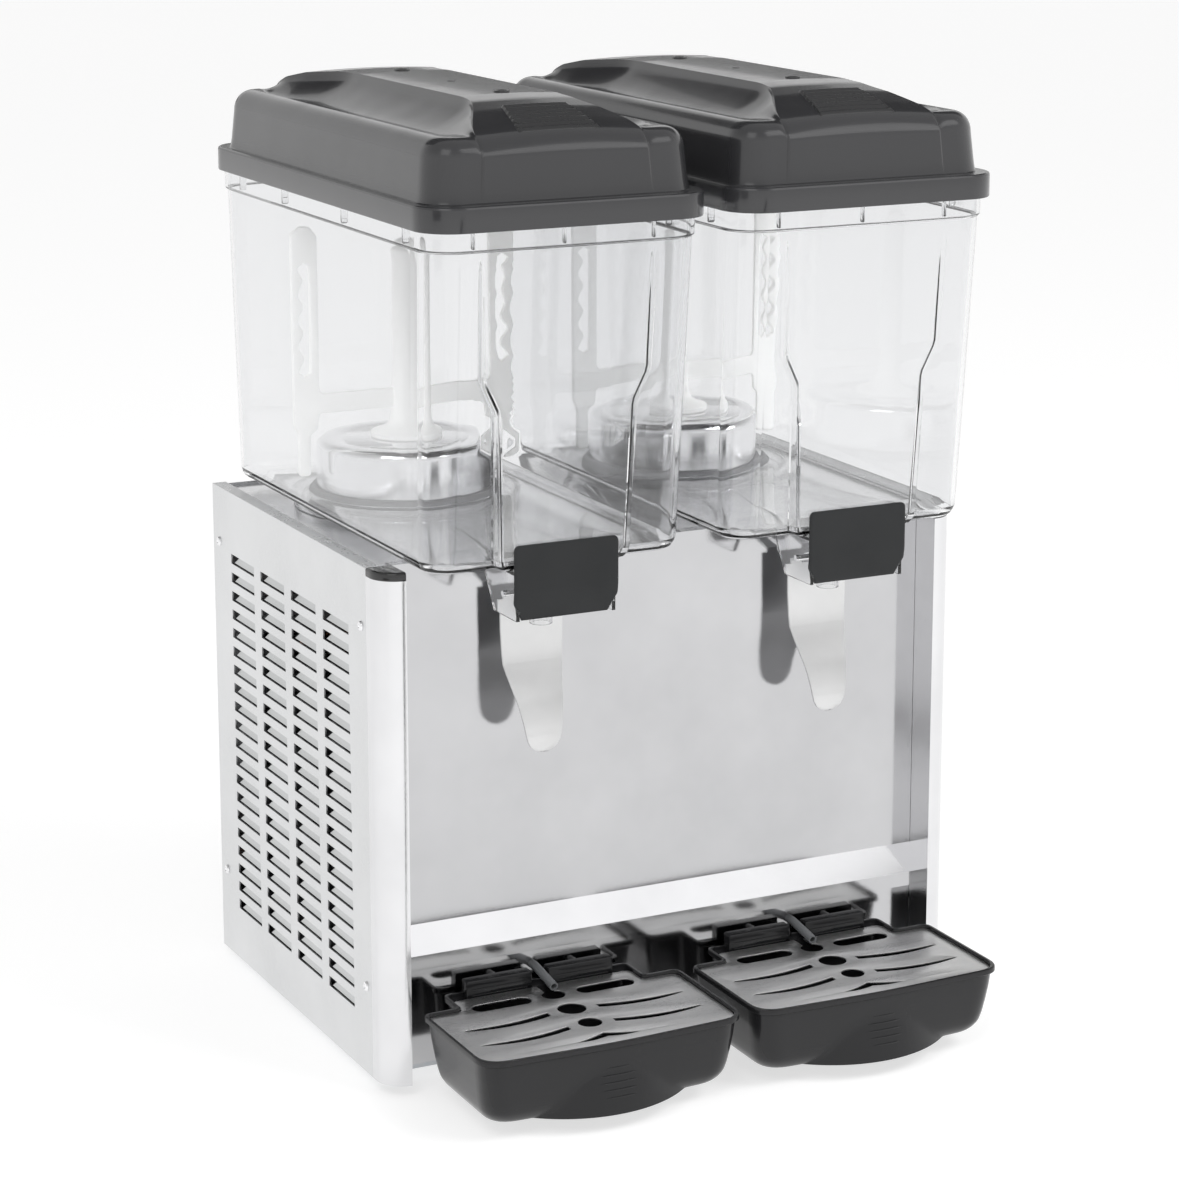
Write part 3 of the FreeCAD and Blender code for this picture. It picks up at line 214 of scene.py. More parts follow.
MATERIALS = {
    "mirror": sheet_metal("polished_front_sheet", (0.50, 0.50, 0.51), (0.56, 0.56, 0.57), 0.05, 0.13,
                          stretch=(1, 1, 60), depth=0.000003, wave=30.0),
    "satin": sheet_metal("satin_side_sheet", (0.66, 0.665, 0.67), (0.74, 0.745, 0.75), 0.24, 0.36,
                         stretch=(1, 1, 40), scale=260.0, depth=0.000012),
    "flap": sheet_metal("louvre_sheet", (0.54, 0.55, 0.55), (0.62, 0.63, 0.63), 0.26, 0.36,
                        stretch=(1, 1, 40), scale=260.0, depth=0.000006),
    # The deck's steel is painted lighter than the side sheet, to offset the shade that the bowls cast
    # on it.
    "deck": sheet_metal("deck_sheet_lightened_for_shade", (0.80, 0.80, 0.81), (0.88, 0.88, 0.89), 0.16, 0.28,
                        stretch=(1, 40, 1), scale=260.0, depth=0.000006),
    "post": sheet_metal("bright_post_sheet", (0.72, 0.72, 0.73), (0.80, 0.80, 0.81), 0.10, 0.2,
                        stretch=(30, 30, 1), scale=260.0, depth=0.000006),
    "brushed": sheet_metal("brushed_grille_sheet", (0.76,) * 3, (0.96, 0.96, 0.95), 0.24, 0.40,
                           stretch=(1, 60, 1), scale=240.0, depth=0.000012, cloud=(0.8, 3, 1)),
    "polished": sheet_metal("polished_drum", (0.84, 0.84, 0.85), (0.92, 0.92, 0.93), 0.10, 0.2,
                            stretch=(1, 1, 30)),
    "lever": sheet_metal("lever_steel", (0.66,) * 3, (0.76,) * 3, 0.34, 0.46,
                         stretch=(30, 1, 1), depth=0.000006),
    "zinc": sheet_metal("galvanised_sheet", (0.42, 0.44, 0.46), (0.58, 0.60, 0.62), 0.35, 0.55,
                        scale=90.0),
    "fins": sheet_metal("fin_aluminium", (0.55, 0.56, 0.58), (0.70, 0.71, 0.73), 0.3, 0.5,
                        stretch=(1, 40, 1), scale=200.0),
    "copper": sheet_metal("copper_tube", (0.62, 0.30, 0.18), (0.80, 0.45, 0.30), 0.2, 0.35,
                          scale=120.0),
    "clear": clear_plastic("clear_polycarbonate", (0.915, 0.918, 0.924), 0.012),
    "lid": moulded("grained_charcoal", (0.024, 0.024, 0.026), (0.032, 0.032, 0.034), 0.18, 0.26,
                   grain=1600.0, depth=0.00002, coat=0.35),
    "vent": moulded("vent_charcoal", (0.016, 0.016, 0.017), (0.024, 0.024, 0.025), 0.25, 0.35),
    "tray": moulded("tray_charcoal", (0.010, 0.010, 0.011), (0.016, 0.016, 0.017), 0.16, 0.26,
                    depth=0.00002, coat=0.12, level=0.32),
    "cover": moulded("cover_charcoal", (0.012, 0.013, 0.014), (0.020, 0.021, 0.022), 0.42, 0.6,
                     grain=1100.0, depth=0.00012, level=0.32),
    "cap": moulded("cap_black", (0.008,) * 3, (0.014,) * 3, 0.10, 0.18,
                   depth=0.0, coat=0.5),
    "white": moulded("white_moulding", (0.82, 0.82, 0.81), (0.90, 0.90, 0.89), 0.28, 0.4,
                     depth=0.00002),
    # The stirrer's glow and its lighter white are painted light: they brighten blades that sit in the
    # lids' shade.
    "stirrer": moulded("stirrer_white_painted_glow", (0.86, 0.86, 0.85), (0.93, 0.93, 0.92), 0.28, 0.4,
                       depth=0.00002, glow=0.25),
    "seal": moulded("grey_silicone", (0.16, 0.16, 0.165), (0.22, 0.22, 0.225), 0.35, 0.5),
    "rubber": moulded("black_rubber", (0.010,) * 3, (0.018,) * 3, 0.6, 0.8),
    "enamel": moulded("black_enamel", (0.010, 0.010, 0.011), (0.016, 0.016, 0.018), 0.2, 0.35,
                      depth=0.00001),
    "motor": moulded("motor_paint", (0.10, 0.105, 0.11), (0.14, 0.145, 0.15), 0.35, 0.5,
                     depth=0.00003),
}

# The CAD nodes that show as they are. A star stands for left and right.
CAD_MATERIALS = {
    "mirror": "front_panel lower_front_panel",
    "satin": "*_side_panel rear_panel",
    "deck": "top_plate",
    "post": "*_front_post",
    "polished": "*_lever_pin",
    "zinc": "base_pan fan_shroud control_box",
    "clear": "*_tap_body",
    "cap": "switch_bezel power_rocker *_stir_rocker thermostat_knob power_inlet fan_blade",
    "white": "*_drive_rotor *_valve_piston",
    "rubber": "rubber_feet",
    "enamel": "compressor",
    "fins": "condenser_coil",
    "copper": "refrigerant_pipes evaporator_coils filter_drier",
    "motor": "fan_motor stirrer_motors drain_tubes",
}


def dress(piece, key):
    piece.data.materials.clear()
    piece.data.materials.append(MATERIALS[key])


# ---------------------------- mesh helpers

def add_object(name, data):
    holder = bpy.data.objects.new(name, data)
    bpy.context.scene.collection.objects.link(holder)
    return holder


def final_mesh(holder):
    """The mesh that a piece's modifiers or a curve's settings give."""
    bpy.context.view_layer.update()
    graph = bpy.context.evaluated_depsgraph_get()
    return bpy.data.meshes.new_from_object(holder.evaluated_get(graph))


def shade(mesh, sharp):
    """Smooth shading, with a crisp line along edges that turn by more than sharp degrees."""
    mesh.shade_smooth()
    mesh.set_sharp_from_angle(angle=radians(sharp))


def piece_from(name, bm, key, body, replaces=(), sharp=40.0):
    """Turns a bmesh into a finished piece that rides on a body."""
    bmesh.ops.recalc_face_normals(bm, faces=bm.faces)
    mesh = bpy.data.meshes.new(name)
    bm.to_mesh(mesh)
    bm.free()
    piece = add_object(name, mesh)
    dress(piece, key)
    shade(mesh, sharp)
    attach(piece, body)
    if replaces:
        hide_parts(*replaces)
    return piece


def shell(piece, thickness, sharp=40):
    """Gives an open surface its wall, inwards from the outside."""
    wall = piece.modifiers.new("wall", "SOLIDIFY")
    wall.thickness = thickness / 1000
    wall.offset = -1
    wall.use_even_offset = True
    wall.use_quality_normals = True
    mesh = final_mesh(piece)
    piece.modifiers.clear()
    piece.data = mesh
    shade(mesh, sharp)


def join_loops(bm, first, second):
    """Quads between two closed loops of points."""
    for (a, b), (c, d) in zip(around(first), around(second)):
        bm.faces.new((a, b, d, c))


def fill_grid(bm, grid):
    """Quads between a grid's rows."""
    for near, far in zip(grid, grid[1:]):
        for k in range(len(near) - 1):
            bm.faces.new((near[k], near[k + 1], far[k + 1], far[k]))


def border(grid):
    """The points round a grid's edge."""
    right, left = [row[-1] for row in grid[1:-1]], [row[0] for row in grid[-2:0:-1]]
    return grid[0] + right + grid[-1][::-1] + left


def skin_rings(bm, rings, closed=False):
    """Quads between successive rings. The ends are capped, or closed joins them."""
    rows = [[bm.verts.new(point) for point in ring] for ring in rings]
    for low, high in zip(rows, rows[1:] + rows[:1] if closed else rows[1:]):
        join_loops(bm, low, high)
    if not closed:
        bm.faces.new(list(reversed(rows[0])))
        bm.faces.new(rows[-1])


def lathe(bm, profile, centre, steps=96, along="z"):
    """Turns a closed (radius, height) profile about an axis through the centre point."""
    rows = []
    for a in turns(steps):
        ring = [(radius * cos(a), radius * sin(a), height) for radius, height in profile]
        if along == "y":
            ring = [(x, z, -y) for x, y, z in ring]
        if along == "x":
            ring = [(z, x, y) for x, y, z in ring]
        rows.append([bm.verts.new(spot(*map(sum, zip(centre, point)))) for point in ring])
    radii = [radius for radius, _ in profile]
    for row, after in around(rows):
        for (start, end), (a, b), (c, d) in zip(around(radii), around(row), around(after)):
            if start or end:
                bm.faces.new((a, c, d, b))
    bmesh.ops.remove_doubles(bm, verts=bm.verts, dist=1e-7)


def rounded_profile(points, radius, steps=4):
    """A closed outline with its corners rounded, by one radius or one for each corner."""
    result = []
    count = len(points)
    for i, (x, y) in enumerate(points):
        here = Vector((x, y))
        before = Vector(points[i - 1]) - here
        after = Vector(points[(i + 1) % count]) - here
        r = radius[i] if isinstance(radius, (list, tuple)) else radius
        if r <= 0:
            result.append((x, y))
            continue
        turn = pi - before.angle(after)
        reach = min(r * tan(turn / 2), before.length * 0.48, after.length * 0.48)
        start, stop = here + before.normalized() * reach, here + after.normalized() * reach
        for k in range(steps + 1):
            t = k / steps
            point = start * (1 - t) ** 2 + here * 2 * t * (1 - t) + stop * t ** 2
            result.append((point.x, point.y))
    return result


def plate(name, outline, holes, place, thickness, bevel, key, body, replaces=()):
    """A round-edged plate, cut from an outline with holes. place puts its points in the frame."""
    curve = bpy.data.curves.new(name, "CURVE")
    curve.dimensions = "2D"
    curve.fill_mode = "BOTH"
    curve.extrude = thickness / 2 - bevel
    curve.bevel_depth = bevel
    curve.bevel_resolution = 2
    curve.offset = -bevel
    for path in [outline] + list(holes):
        spline = curve.splines.new("POLY")
        spline.points.add(len(path) - 1)
        for point, (u, v) in zip(spline.points, path):
            point.co = (u, v, 0, 1)
        spline.use_cyclic_u = True
    holder = add_object(name + "_outline", curve)
    mesh = final_mesh(holder)
    bpy.data.objects.remove(holder)
    bm = bmesh.new()
    bm.from_mesh(mesh)
    for vert in bm.verts:
        vert.co = place(*vert.co)
    bmesh.ops.remove_doubles(bm, verts=bm.verts, dist=1e-6)
    return piece_from(name, bm, key, body, replaces, 35.0)


def metres(points):
    return [(x / 1000, y / 1000) for x, y in points]


def turns(steps):
    """Angles evenly round a circle."""
    return [2 * pi * k / steps for k in range(steps)]


def circle(u, v, radius, steps=40):
    return [(u + radius * cos(a), v + radius * sin(a)) for a in turns(steps)]


def rounded_ring(half, front, back, radius, corner, wide, long):
    """A rounded rectangle with the same count of points whatever its size."""
    centres = [(half - radius, front + radius, -90), (half - radius, back - radius, 0),
               (-half + radius, back - radius, 90), (-half + radius, front + radius, 180)]
    points = []
    for index, (cx, cy, turn) in enumerate(centres):
        for i in range(corner + 1):
            a = radians(turn + 90 * i / corner)
            points.append((cx + radius * cos(a), cy + radius * sin(a)))
        nx, ny, next_turn = centres[(index + 1) % 4]
        a = radians(next_turn)
        end = (nx + radius * cos(a), ny + radius * sin(a))
        start = points[-1]
        steps = long if index in (0, 2) else wide
        points += [between(start, end, i / steps) for i in range(1, steps)]
    return points


# ---------------------------- lids

# The rim over the bowl, the upper outline above it, and the height along the middle, front to back.
LID = Sizes(low=569.7, shelf=585.8, half=98.8, front=-86.5, back=302.0, wall=2.2, sharp=24.0)
TOP = Sizes(half=89.7, front=-72.7, back=288.0, corner=20.0, roll=13.0, shoulder=625.5, wall=612.0)
SPINE = [(-75, 621.5), (-66, 626.0), (-50, 632.0), (-30, 637.8), (-8, 641.8), (10, 643.0),
         (180, 643.0), (215, 642.2), (245, 640.0), (266, 636.0), (280, 630.0), (290, 621.0)]
SPINE_CROWN = 0.0007
GRIP_HALF, COVE_DIP, FASCIA_RISE = 33, 4.2, 1.3
PLUGS = ((22, 5.6), (184, 5.6))
PIP_Y = 101


def lid_width(y):
    """The half-width of the lid's upper outline."""
    corner = TOP.corner
    reach = min(y - TOP.front, TOP.back - y, corner)
    return TOP.half - corner + sqrt(max(corner ** 2 - (corner - reach) ** 2, 0))


def lid_edges(y):
    """How far the grip and the cove beside it reach from the middle. Both widen at the ends."""
    grip = GRIP_HALF + 24 * smooth((14 - y) / 80) ** 1.5 + 22 * smooth((y - 190) / 95)
    cove = mix(64, 76, smooth((y + 70) / 50)) - 8 * smooth((y - 240) / 48)
    cove = min(cove, lid_width(y) - 3)
    return min(grip, cove - 3), cove


def lid_inside_height(x, y):
    """The lid's top before its edge is rounded: shoulders, coves and the grip between them."""
    across = abs(x)
    grip, cove = lid_edges(y)
    spine = table(SPINE, y) - SPINE_CROWN * across ** 2
    if across <= grip:
        return spine
    t = min((across - grip) / (cove - grip), 1.0)
    rise = spine - TOP.shoulder
    dip = COVE_DIP * sin(pi * t ** 1.8) * smooth(rise / 12)
    return TOP.shoulder + rise * (1 - sqrt(1 - (1 - t) ** 2)) - dip


def lid_height(x, y):
    """The lid's top with its edge rolled over into the walls."""
    corner = TOP.corner
    dx, dy = TOP.half - abs(x), min(y - TOP.front, TOP.back - y)
    inset = min(dx, dy)
    if dx < corner and dy < corner:
        inset = corner - hypot(corner - dx, corner - dy)
    t = min(max(inset / TOP.roll, 0.0), 1.0)
    return TOP.wall + (lid_inside_height(x, y) - TOP.wall) * sqrt(max(1 - (1 - t) ** 2, 0))


def lid_columns(y):
    """Places across the lid, close together at the grip's edge and at the rim."""
    (grip, cove), side = lid_edges(y), lid_width(y)
    places = [grip * (1 - (1 - k / 14) ** 1.5) for k in range(15)]
    places += [grip + (cove - grip) * (1 - cos(pi / 2 * k / 14)) for k in range(1, 15)]
    places += [cove + (side - cove) * (1 - (1 - k / 12) ** 2) for k in range(1, 13)]
    return [-x for x in reversed(places[1:])] + places


def lid_rows():
    """Places along the lid, close together in its rounded ends."""
    front, back, corner = TOP.front, TOP.back, TOP.corner
    ends = [corner * (1 - cos(radians(9 * k))) for k in range(11)]
    middle = [mix(front + corner, back - corner, k / 96) for k in range(1, 96)]
    return [front + e for e in ends] + middle + [back - e for e in reversed(ends)]


def lid_levels():
    """The walls' outlines going down, as [z, half-width, front, back, corner]."""
    shelf, foot, head = LID.shelf, (92.0, -75, 290, 20), (89.7, -72.7, 288, 20)
    walls = [[z, *between(foot, head, (z - shelf) / (TOP.wall - shelf))] for z in (607, 600, 592)]
    fillet = [[shelf + 2, 92.1, -75.1, 290.1, 20.4], [shelf + 0.5, 92.6, -75.6, 290.6, 20.6],
              [shelf, 93.6, -76.6, 291.6, 21.6]]
    rim = ((shelf, 1.6), (shelf - 0.5, 0.5), (shelf - 1.6, 0), (LID.low + 0.8, 0), (LID.low, 0.3))
    return walls + fillet + [[z, LID.half - i, LID.front + i, LID.back - i, 25 - i] for z, i in rim]


def lid_carry(x, y, half, front, back, radius):
    """Carries a point of the upper outline to the outline of a lower level."""
    corner = TOP.corner
    core, low, high = TOP.half - corner, TOP.front + corner, TOP.back - corner
    nx, ny = max(abs(x) - core, 0) / corner, (min(y - low, 0) + max(y - high, 0)) / corner
    along = (min(max(y, low), high) - low) / (high - low)
    wide = min(abs(x), core) * (half - radius) / core + nx * radius
    return copysign(wide, x), mix(front + radius, back - radius, along) + ny * radius


def lid_shell(side, centre):
    """The lid's moulding, with a fascia that stands slightly proud between two creases."""
    crease = lid_edges(TOP.front)[0]

    def proud(x, y):
        return FASCIA_RISE * smooth((crease + 0.6 - abs(x)) / 1.2) * smooth((-30 - y) / 25)

    bm = bmesh.new()
    outlines = [[(x, y) for x in lid_columns(y)] for y in lid_rows()]
    rows = [[bm.verts.new(spot(centre + x, y - proud(x, y), lid_height(x, y))) for x, y in outline]
            for outline in outlines]
    fill_grid(bm, rows)
    above, edge = border(rows), border(outlines)
    for z, *outline in lid_levels():
        below = []
        for x, y in edge:
            u, v = lid_carry(x, y, *outline)
            below.append(bm.verts.new(spot(centre + u, v - proud(x, y) * smooth((z - 588) / 6), z)))
        join_loops(bm, above, below)
        above = below
    piece = piece_from(f"{side}_lid_shell", bm, "lid", f"{side}_lid_unit",
                       (f"{side}_lid",), LID.sharp)
    shell(piece, LID.wall, LID.sharp)


def lid_vent(side, centre):
    """The framed block of slats on the lid's front slope."""
    rows, columns, slats, high, wall = 84, 30, 7, 1.5, 0.8
    front, back = (-64, 29.5), (-24, 22.5)
    bm = bmesh.new()
    grid = []
    for r in range(rows + 1):
        y, half = between(front, back, r / rows)
        slat = 0.5 - 0.5 * cos(2 * pi * slats * r / rows)
        line = []
        for k in range(columns + 1):
            u = mix(-1, 1, k / columns)
            edge = smooth((1 - abs(u)) / 0.06) * smooth(min(r, rows - r) / 2)
            frame_rise = smooth((abs(u) - 0.90) / 0.05)
            rise = edge * (0.25 + high * max(slat ** 0.6, frame_rise)) - (1 - edge) * 0.5
            line.append(bm.verts.new(spot(centre + half * u, y, lid_height(half * u, y) + rise)))
        grid.append(line)
    fill_grid(bm, grid)
    vent = piece_from(f"{side}_lid_vent", bm, "vent", f"{side}_lid_unit", (), 60.0)
    shell(vent, wall)


def lid_plugs(side, centre):
    """Two round plugs and a small pip along the lid's ridge."""
    bm = bmesh.new()
    for y, radius in PLUGS:
        profile = [(0, 0.1), (radius - 2.6, 0.1), (radius - 1.8, 0.9), (radius - 0.6, 0.9),
                   (radius, -0.3), (0, -0.3)]
        lathe(bm, profile, (centre, y, lid_height(0, y)), 40)
    pip = [(0, 0.35), (2.4, 0.3), (2.8, -0.3), (0, -0.3)]
    lathe(bm, pip, (centre, PIP_Y, lid_height(0, PIP_Y)), 24)
    piece_from(f"{side}_lid_plugs", bm, "vent", f"{side}_lid_unit")


# ---------------------------- bowls

# The bowl's half-width, front, bay's face, back and corner, at its floor and at its brim.
FLOOR_Z, FLOOR_PLAN = 350, (90.3, -62, -69.5, 288, 20)
BRIM_Z, BRIM_PLAN = 551, (93.8, -77.5, -77.5, 294, 22)
BOWL_WALL, BOWL_HATCH, BOWL_SHARP = 2.8, 66.6, 25.0
BAY_HALF = [(350, 46.3), (452, 49.4), (456, 50.2), (472, 58.0), (476, 58.9), (545, 60.8),
            (575, 61.0)]
BOWL_HEIGHTS = [358, 366, 380, 400, 425, 445, 452, 456, 461, 467, 472, 476, 490, 510, 530, 545, 550]
FLOOR_CURVE = [(0.0, 9.0), (0.6, 5.5), (2.4, 2.4), (5.2, 0.6)]
COLLAR = [(556.0, 0.2), (556.6, 1.2), (557.6, 2.0), (564, 2.1), (574.2, 2.3), (575, 2.0)]


def bowl_ring(z, inset=0.0, flare=0.0):
    """The bowl's outline at a height, with the bay's step at the front. flare widens the collar."""
    t = (z - FLOOR_Z) / (BRIM_Z - FLOOR_Z)
    half, front, face, back, radius = between(FLOOR_PLAN, BRIM_PLAN, t)
    corner_end = half - radius
    half, front, back = half - inset + flare, front + inset - flare, back - inset + flare
    face = min(face + inset, front)
    bay_half = table(BAY_HALF, z) - inset
    corners = rounded_ring(half, front, back, half - corner_end, 10, 2, 30)
    outline = [p for p in corners if abs(p[0]) > corner_end - 1e-6 or p[1] > 0]
    offsets = [abs(x + corner_end) + abs(y - front) for x, y in outline]
    start = offsets.index(min(offsets)) + 1
    step = [(-mix(corner_end, bay_half + 2, 0.5), front)]
    step += [(-bay_half + dx, mix(front, face, u))
             for dx, u in ((-1.8, 0), (-0.9, 0.1), (-0.3, 0.3), (0.3, 0.7), (0.9, 0.9), (1.8, 1))]
    middle = [(x, face) for x in (-30, -15, 0, 15, 30)]
    return outline[start:] + outline[:start] + step + middle + [(-x, y) for x, y in reversed(step)]


def bowl_shell(side, centre):
    """An outer and an inner skin joined at the rim and round the drum's hole in the floor."""
    low, wall = FLOOR_Z, BOWL_WALL

    def level(outline, z):
        return [spot(centre + x, y, z) for x, y in outline]

    def mouth(outline, z):
        angles = [atan2(y - DRUM_Y, x) for x, y in outline]
        return level([(BOWL_HATCH * cos(a), DRUM_Y + BOWL_HATCH * sin(a)) for a in angles], z)

    rings = [mouth(bowl_ring(low, 9), low)]
    rings += [level(bowl_ring(low, inset), low + rise) for rise, inset in FLOOR_CURVE]
    rings += [level(bowl_ring(z), z) for z in BOWL_HEIGHTS]
    rings += [level(bowl_ring(550, 0, flare), z) for z, flare in COLLAR]
    rings += [level(bowl_ring(550, wall - 0.6, flare), z - 0.1) for z, flare in reversed(COLLAR[2:])]
    rings += [level(bowl_ring(551, wall), 557.4)]
    rings += [level(bowl_ring(z, wall), z) for z in reversed(BOWL_HEIGHTS)]
    rings += [level(bowl_ring(low, inset + wall), low + rise + wall)
              for rise, inset in reversed(FLOOR_CURVE)]
    rings += [mouth(bowl_ring(low, 9), low + wall)]
    bm = bmesh.new()
    skin_rings(bm, rings, closed=True)
    piece_from(f"{side}_bowl_shell", bm, "clear", f"{side}_bowl_unit",
               (f"{side}_bowl",), BOWL_SHARP)


def bowl_ribs(side, centre):
    """The ring that stands round the gasket, and the short ribs round the collar."""
    bm = bmesh.new()
    ring = [(75.2, 343.2), (78.6, 343.2), (79, 343.6), (79, 349.9), (75.2, 349.9)]
    lathe(bm, ring, (centre, DRUM_Y, 0))
    long, thick, front, half = 2.4, 0.7, -77.2, 90.8
    ribs = [(x, front, thick, long) for x in (-66, -4, 58)]
    ribs += [(x, y, long, thick) for x in (-half, half) for y in (-35, 65, 170, 250)]
    for x, y, wide, deep in ribs:
        corners = [(-wide, -deep), (wide, -deep), (wide, deep), (-wide, deep)]
        outline = rounded_profile(corners, 0.6, 3)
        skin_rings(bm, [[spot(centre + x + u * k, y + v * k, z) for u, v in outline]
                        for z, k in ((558.6, 0.7), (559.4, 1), (570, 1), (571.5, 0.7))])
    piece_from(f"{side}_bowl_ribs", bm, "clear", f"{side}_bowl_unit")


# ---------------------------- drums and stirrers

def drum(side, centre):
    """The polished skin: a flange at its foot, a rounded shoulder and a sleeve in its roof."""
    radius, top, corner, foot = 61, 389, 6, 330
    flange = [(radius, foot), (radius, 342.8), (71.4, 342.8), (72, 343.4), (71.4, 344),
              (radius, 344), (radius, top - corner)]
    shoulder = [(radius - corner + corner * cos(a), top - corner + corner * sin(a))
                for a in (radians(18 * k) for k in range(1, 6))]
    roof = [(44, top), (43.2, 388.6), (42.4, top), (10, top), (4, top), (4, 395.6), (3.6, 396),
            (0, 396), (0, 387.8), (52, 387.8), (58.5, 384), (59.8, 380), (59.8, foot)]
    bm = bmesh.new()
    lathe(bm, flange + shoulder + roof, (centre, DRUM_Y, 0), 128)
    piece_from(f"{side}_drum_skin", bm, "polished", "root",
               (f"{side}_cooling_drum",), 30.0)


def gaskets():
    """The seals between the drums and the bowls."""
    corners = [(61.1, 344.1), (66.2, 344.1), (66.2, 352), (63.8, 356), (61.1, 356)]
    bm = bmesh.new()
    for _, sign in SIDES:
        lathe(bm, rounded_profile(corners, 0.8, 3), (sign * BOWL_X, DRUM_Y, 0))
    piece_from("gasket_rings", bm, "seal", "root", ("bowl_gaskets",))


def stirrer(side, centre):
    """Two slotted blades on a cross arm, and a hub that tapers into the mast between them."""
    body = f"{side}_stirrer_unit"
    foot, thickness, bevel = 389.4, 0.0042, 0.0009

    def standing(u, v, w):
        return spot(centre + u * 1000, DRUM_Y + w * 1000, v * 1000)

    corners = [(-6, foot + 21), (63.5, foot + 21), (64.5, foot + 10), (70, foot + 6), (70, 367),
               (78.5, 367), (78.5, foot + 6), (81.6, foot + 14), (82, 535), (75, 540.5),
               (68, 540.5), (63, 533), (63, 424), (-6, 424)]
    half = rounded_profile(corners, [0, 4, 3, 2, 3, 3, 4, 3, 5, 4, 4, 4, 5, 0], 5)
    wave = [(73.0 + 2.7 + 1.9 * cos(2 * pi * 4 * i / 40), mix(440, 512, i / 40)) for i in range(41)]
    slot = wave + [(73.0, 515.5), (69.3, 513), (68.8, 500), (68.8, 452), (69.3, 439), (73.0, 436.5)]
    for mirror, letter in ((1, "a"), (-1, "b")):
        outline, hole = (metres([(mirror * x, z) for x, z in path]) for path in (half, slot))
        plate(f"{side}_stirrer_blade_{letter}", outline, [hole], standing, thickness, bevel,
              "stirrer", body)
    bore, mast, neck = 4.06, 6.8, foot + 132
    profile = [(bore, foot), (22.4, foot), (23, foot + 0.8), (23, foot + 3.2), (22, foot + 4.2),
               (17, foot + 5.4), (12.5, foot + 8), (9.6, foot + 12), (8.6, foot + 18),
               (7.4, foot + 60), (mast, neck)]
    profile += [(mast * cos(a), neck + mast * sin(a)) for a in (radians(15 * k) for k in range(1, 6))]
    profile += [(0, foot + 138.8), (0, foot + 9), (3.4, foot + 9), (bore, foot + 8.4)]
    bm = bmesh.new()
    lathe(bm, profile, (centre, DRUM_Y, 0), 64)
    piece_from(f"{side}_stirrer_mast", bm, "stirrer", body,
               (f"{side}_agitator",), 35.0)


# ---------------------------- taps

def tap_cover(side, centre):
    """The black plate: flat with round corners above, curled back with cut corners below."""
    low, high, full, front, thick, round_off = 318.5, 368.0, 36.5, -72.4, 2.0, 3.5
    columns, fold_height, cut_height, cut_width = 28, 338, 330, 6.2
    drops = (0, 0.12, 0.45, 1.0, 1.8, 3.5, 8, 14, 20, 26, 29, 31, 33, 35, 37, 38.5, 40, 43, 46)
    heights = [high - r for r in drops] + [low + r for r in (1.2, 0.5, 0.12, 0)]
    bm = bmesh.new()
    sheets = []
    for layer in (0, 1):
        grid = []
        for z in heights:
            corner = max(z - high + round_off, 0.0)
            half = full - round_off + sqrt(max(round_off ** 2 - corner ** 2, 0))
            half -= cut_width * max(0.0, (cut_height - z) / (cut_height - low))
            fold = max(0.0, (fold_height - z) / (fold_height - low))
            row = []
            for k in range(columns + 1):
                u = sin(pi / 2 * mix(-1, 1, k / columns))
                near = smooth(min((1 - abs(u)) * half, high - z, z - low) / 1.0)
                edge = thick - (1 - near) * 0.3 if layer else (1 - near) * 0.6
                y = front + 3.4 * fold ** 1.3 + edge
                row.append(bm.verts.new(spot(centre + half * u, y, z)))
            grid.append(row)
        sheets.append(grid)
        fill_grid(bm, grid)
    join_loops(bm, *map(border, sheets))
    piece_from(f"{side}_cover_plate", bm, "cover", f"{side}_bowl_unit",
               (f"{side}_tap_cover",), 50.0)


# The lever's depth and half-width by height, and its ears' side view, from the blade to the pin.
LEVER_DEPTH = [(219.3, -36.4), (224, -37.0), (230, -37.2), (238, -36.2), (246, -34.0), (252, -31.6),
               (262, -26.4), (270, -22.6), (277, -20.2), (284, -19.3), (300, -18.8), (320, -18.7)]
LEVER_HALF = [(219.3, 0.2), (219.8, 3.4), (221.2, 6.6), (223.6, 9.4), (227, 11.3), (231, 12.4),
              (250, 15.6), (276, 21.2), (300, 22.2), (320, 22.3)]
LEVER_EAR = [(-18.7, 318.5), (-17.2, 318.5), (-17.2, 323.6), (-33, 326.9), (-50.2, 330.6),
             (-50.5, 329.2), (-33, 325.4), (-18.7, 322.2)]
LEVER_THICK, LEVER_DISH = 1.5, 0.9
PIN_Y, PIN_Z = -52, 333


def lever(side, centre):
    """A bent steel blade with a creased waist and a round tip, and two ears that reach the pin."""
    columns, listed = 16, [z for z, _ in LEVER_DEPTH + LEVER_HALF]
    heights = sorted(set(listed + [225.5, 235, 242, 256, 266, 273, 281, 290, 310]))
    bm = bmesh.new()
    layers = []
    for offset in (0.0, LEVER_THICK):
        grid = []
        for z in heights:
            half, y = table(LEVER_HALF, z), table(LEVER_DEPTH, z)
            row = []
            for k in range(columns + 1):
                u = mix(-1, 1, k / columns)
                dish = LEVER_DISH * (1 - u * u) * smooth((290 - z) / 30)
                back = LEVER_DISH * smooth((290 - z) / 30) * 0.4
                row.append(bm.verts.new(spot(centre + half * u, y + offset + dish - back, z)))
            grid.append(row)
        layers.append(grid)
        fill_grid(bm, grid)
    join_loops(bm, *map(border, layers))
    for ear in (-1, 1):
        low, high = sorted((ear * 10.5, ear * 18.5))
        skin_rings(bm, [[spot(centre + x, y, z) for y, z in LEVER_EAR] for x in (low, high)])
        eye = [(2.06, low), (4.2, low), (4.2, high), (2.06, high)]
        lathe(bm, eye, (centre, PIN_Y, PIN_Z), 32, "x")
    piece_from(f"{side}_lever_blade", bm, "lever", f"{side}_lever_unit",
               (f"{side}_tap_lever",), 45.0)


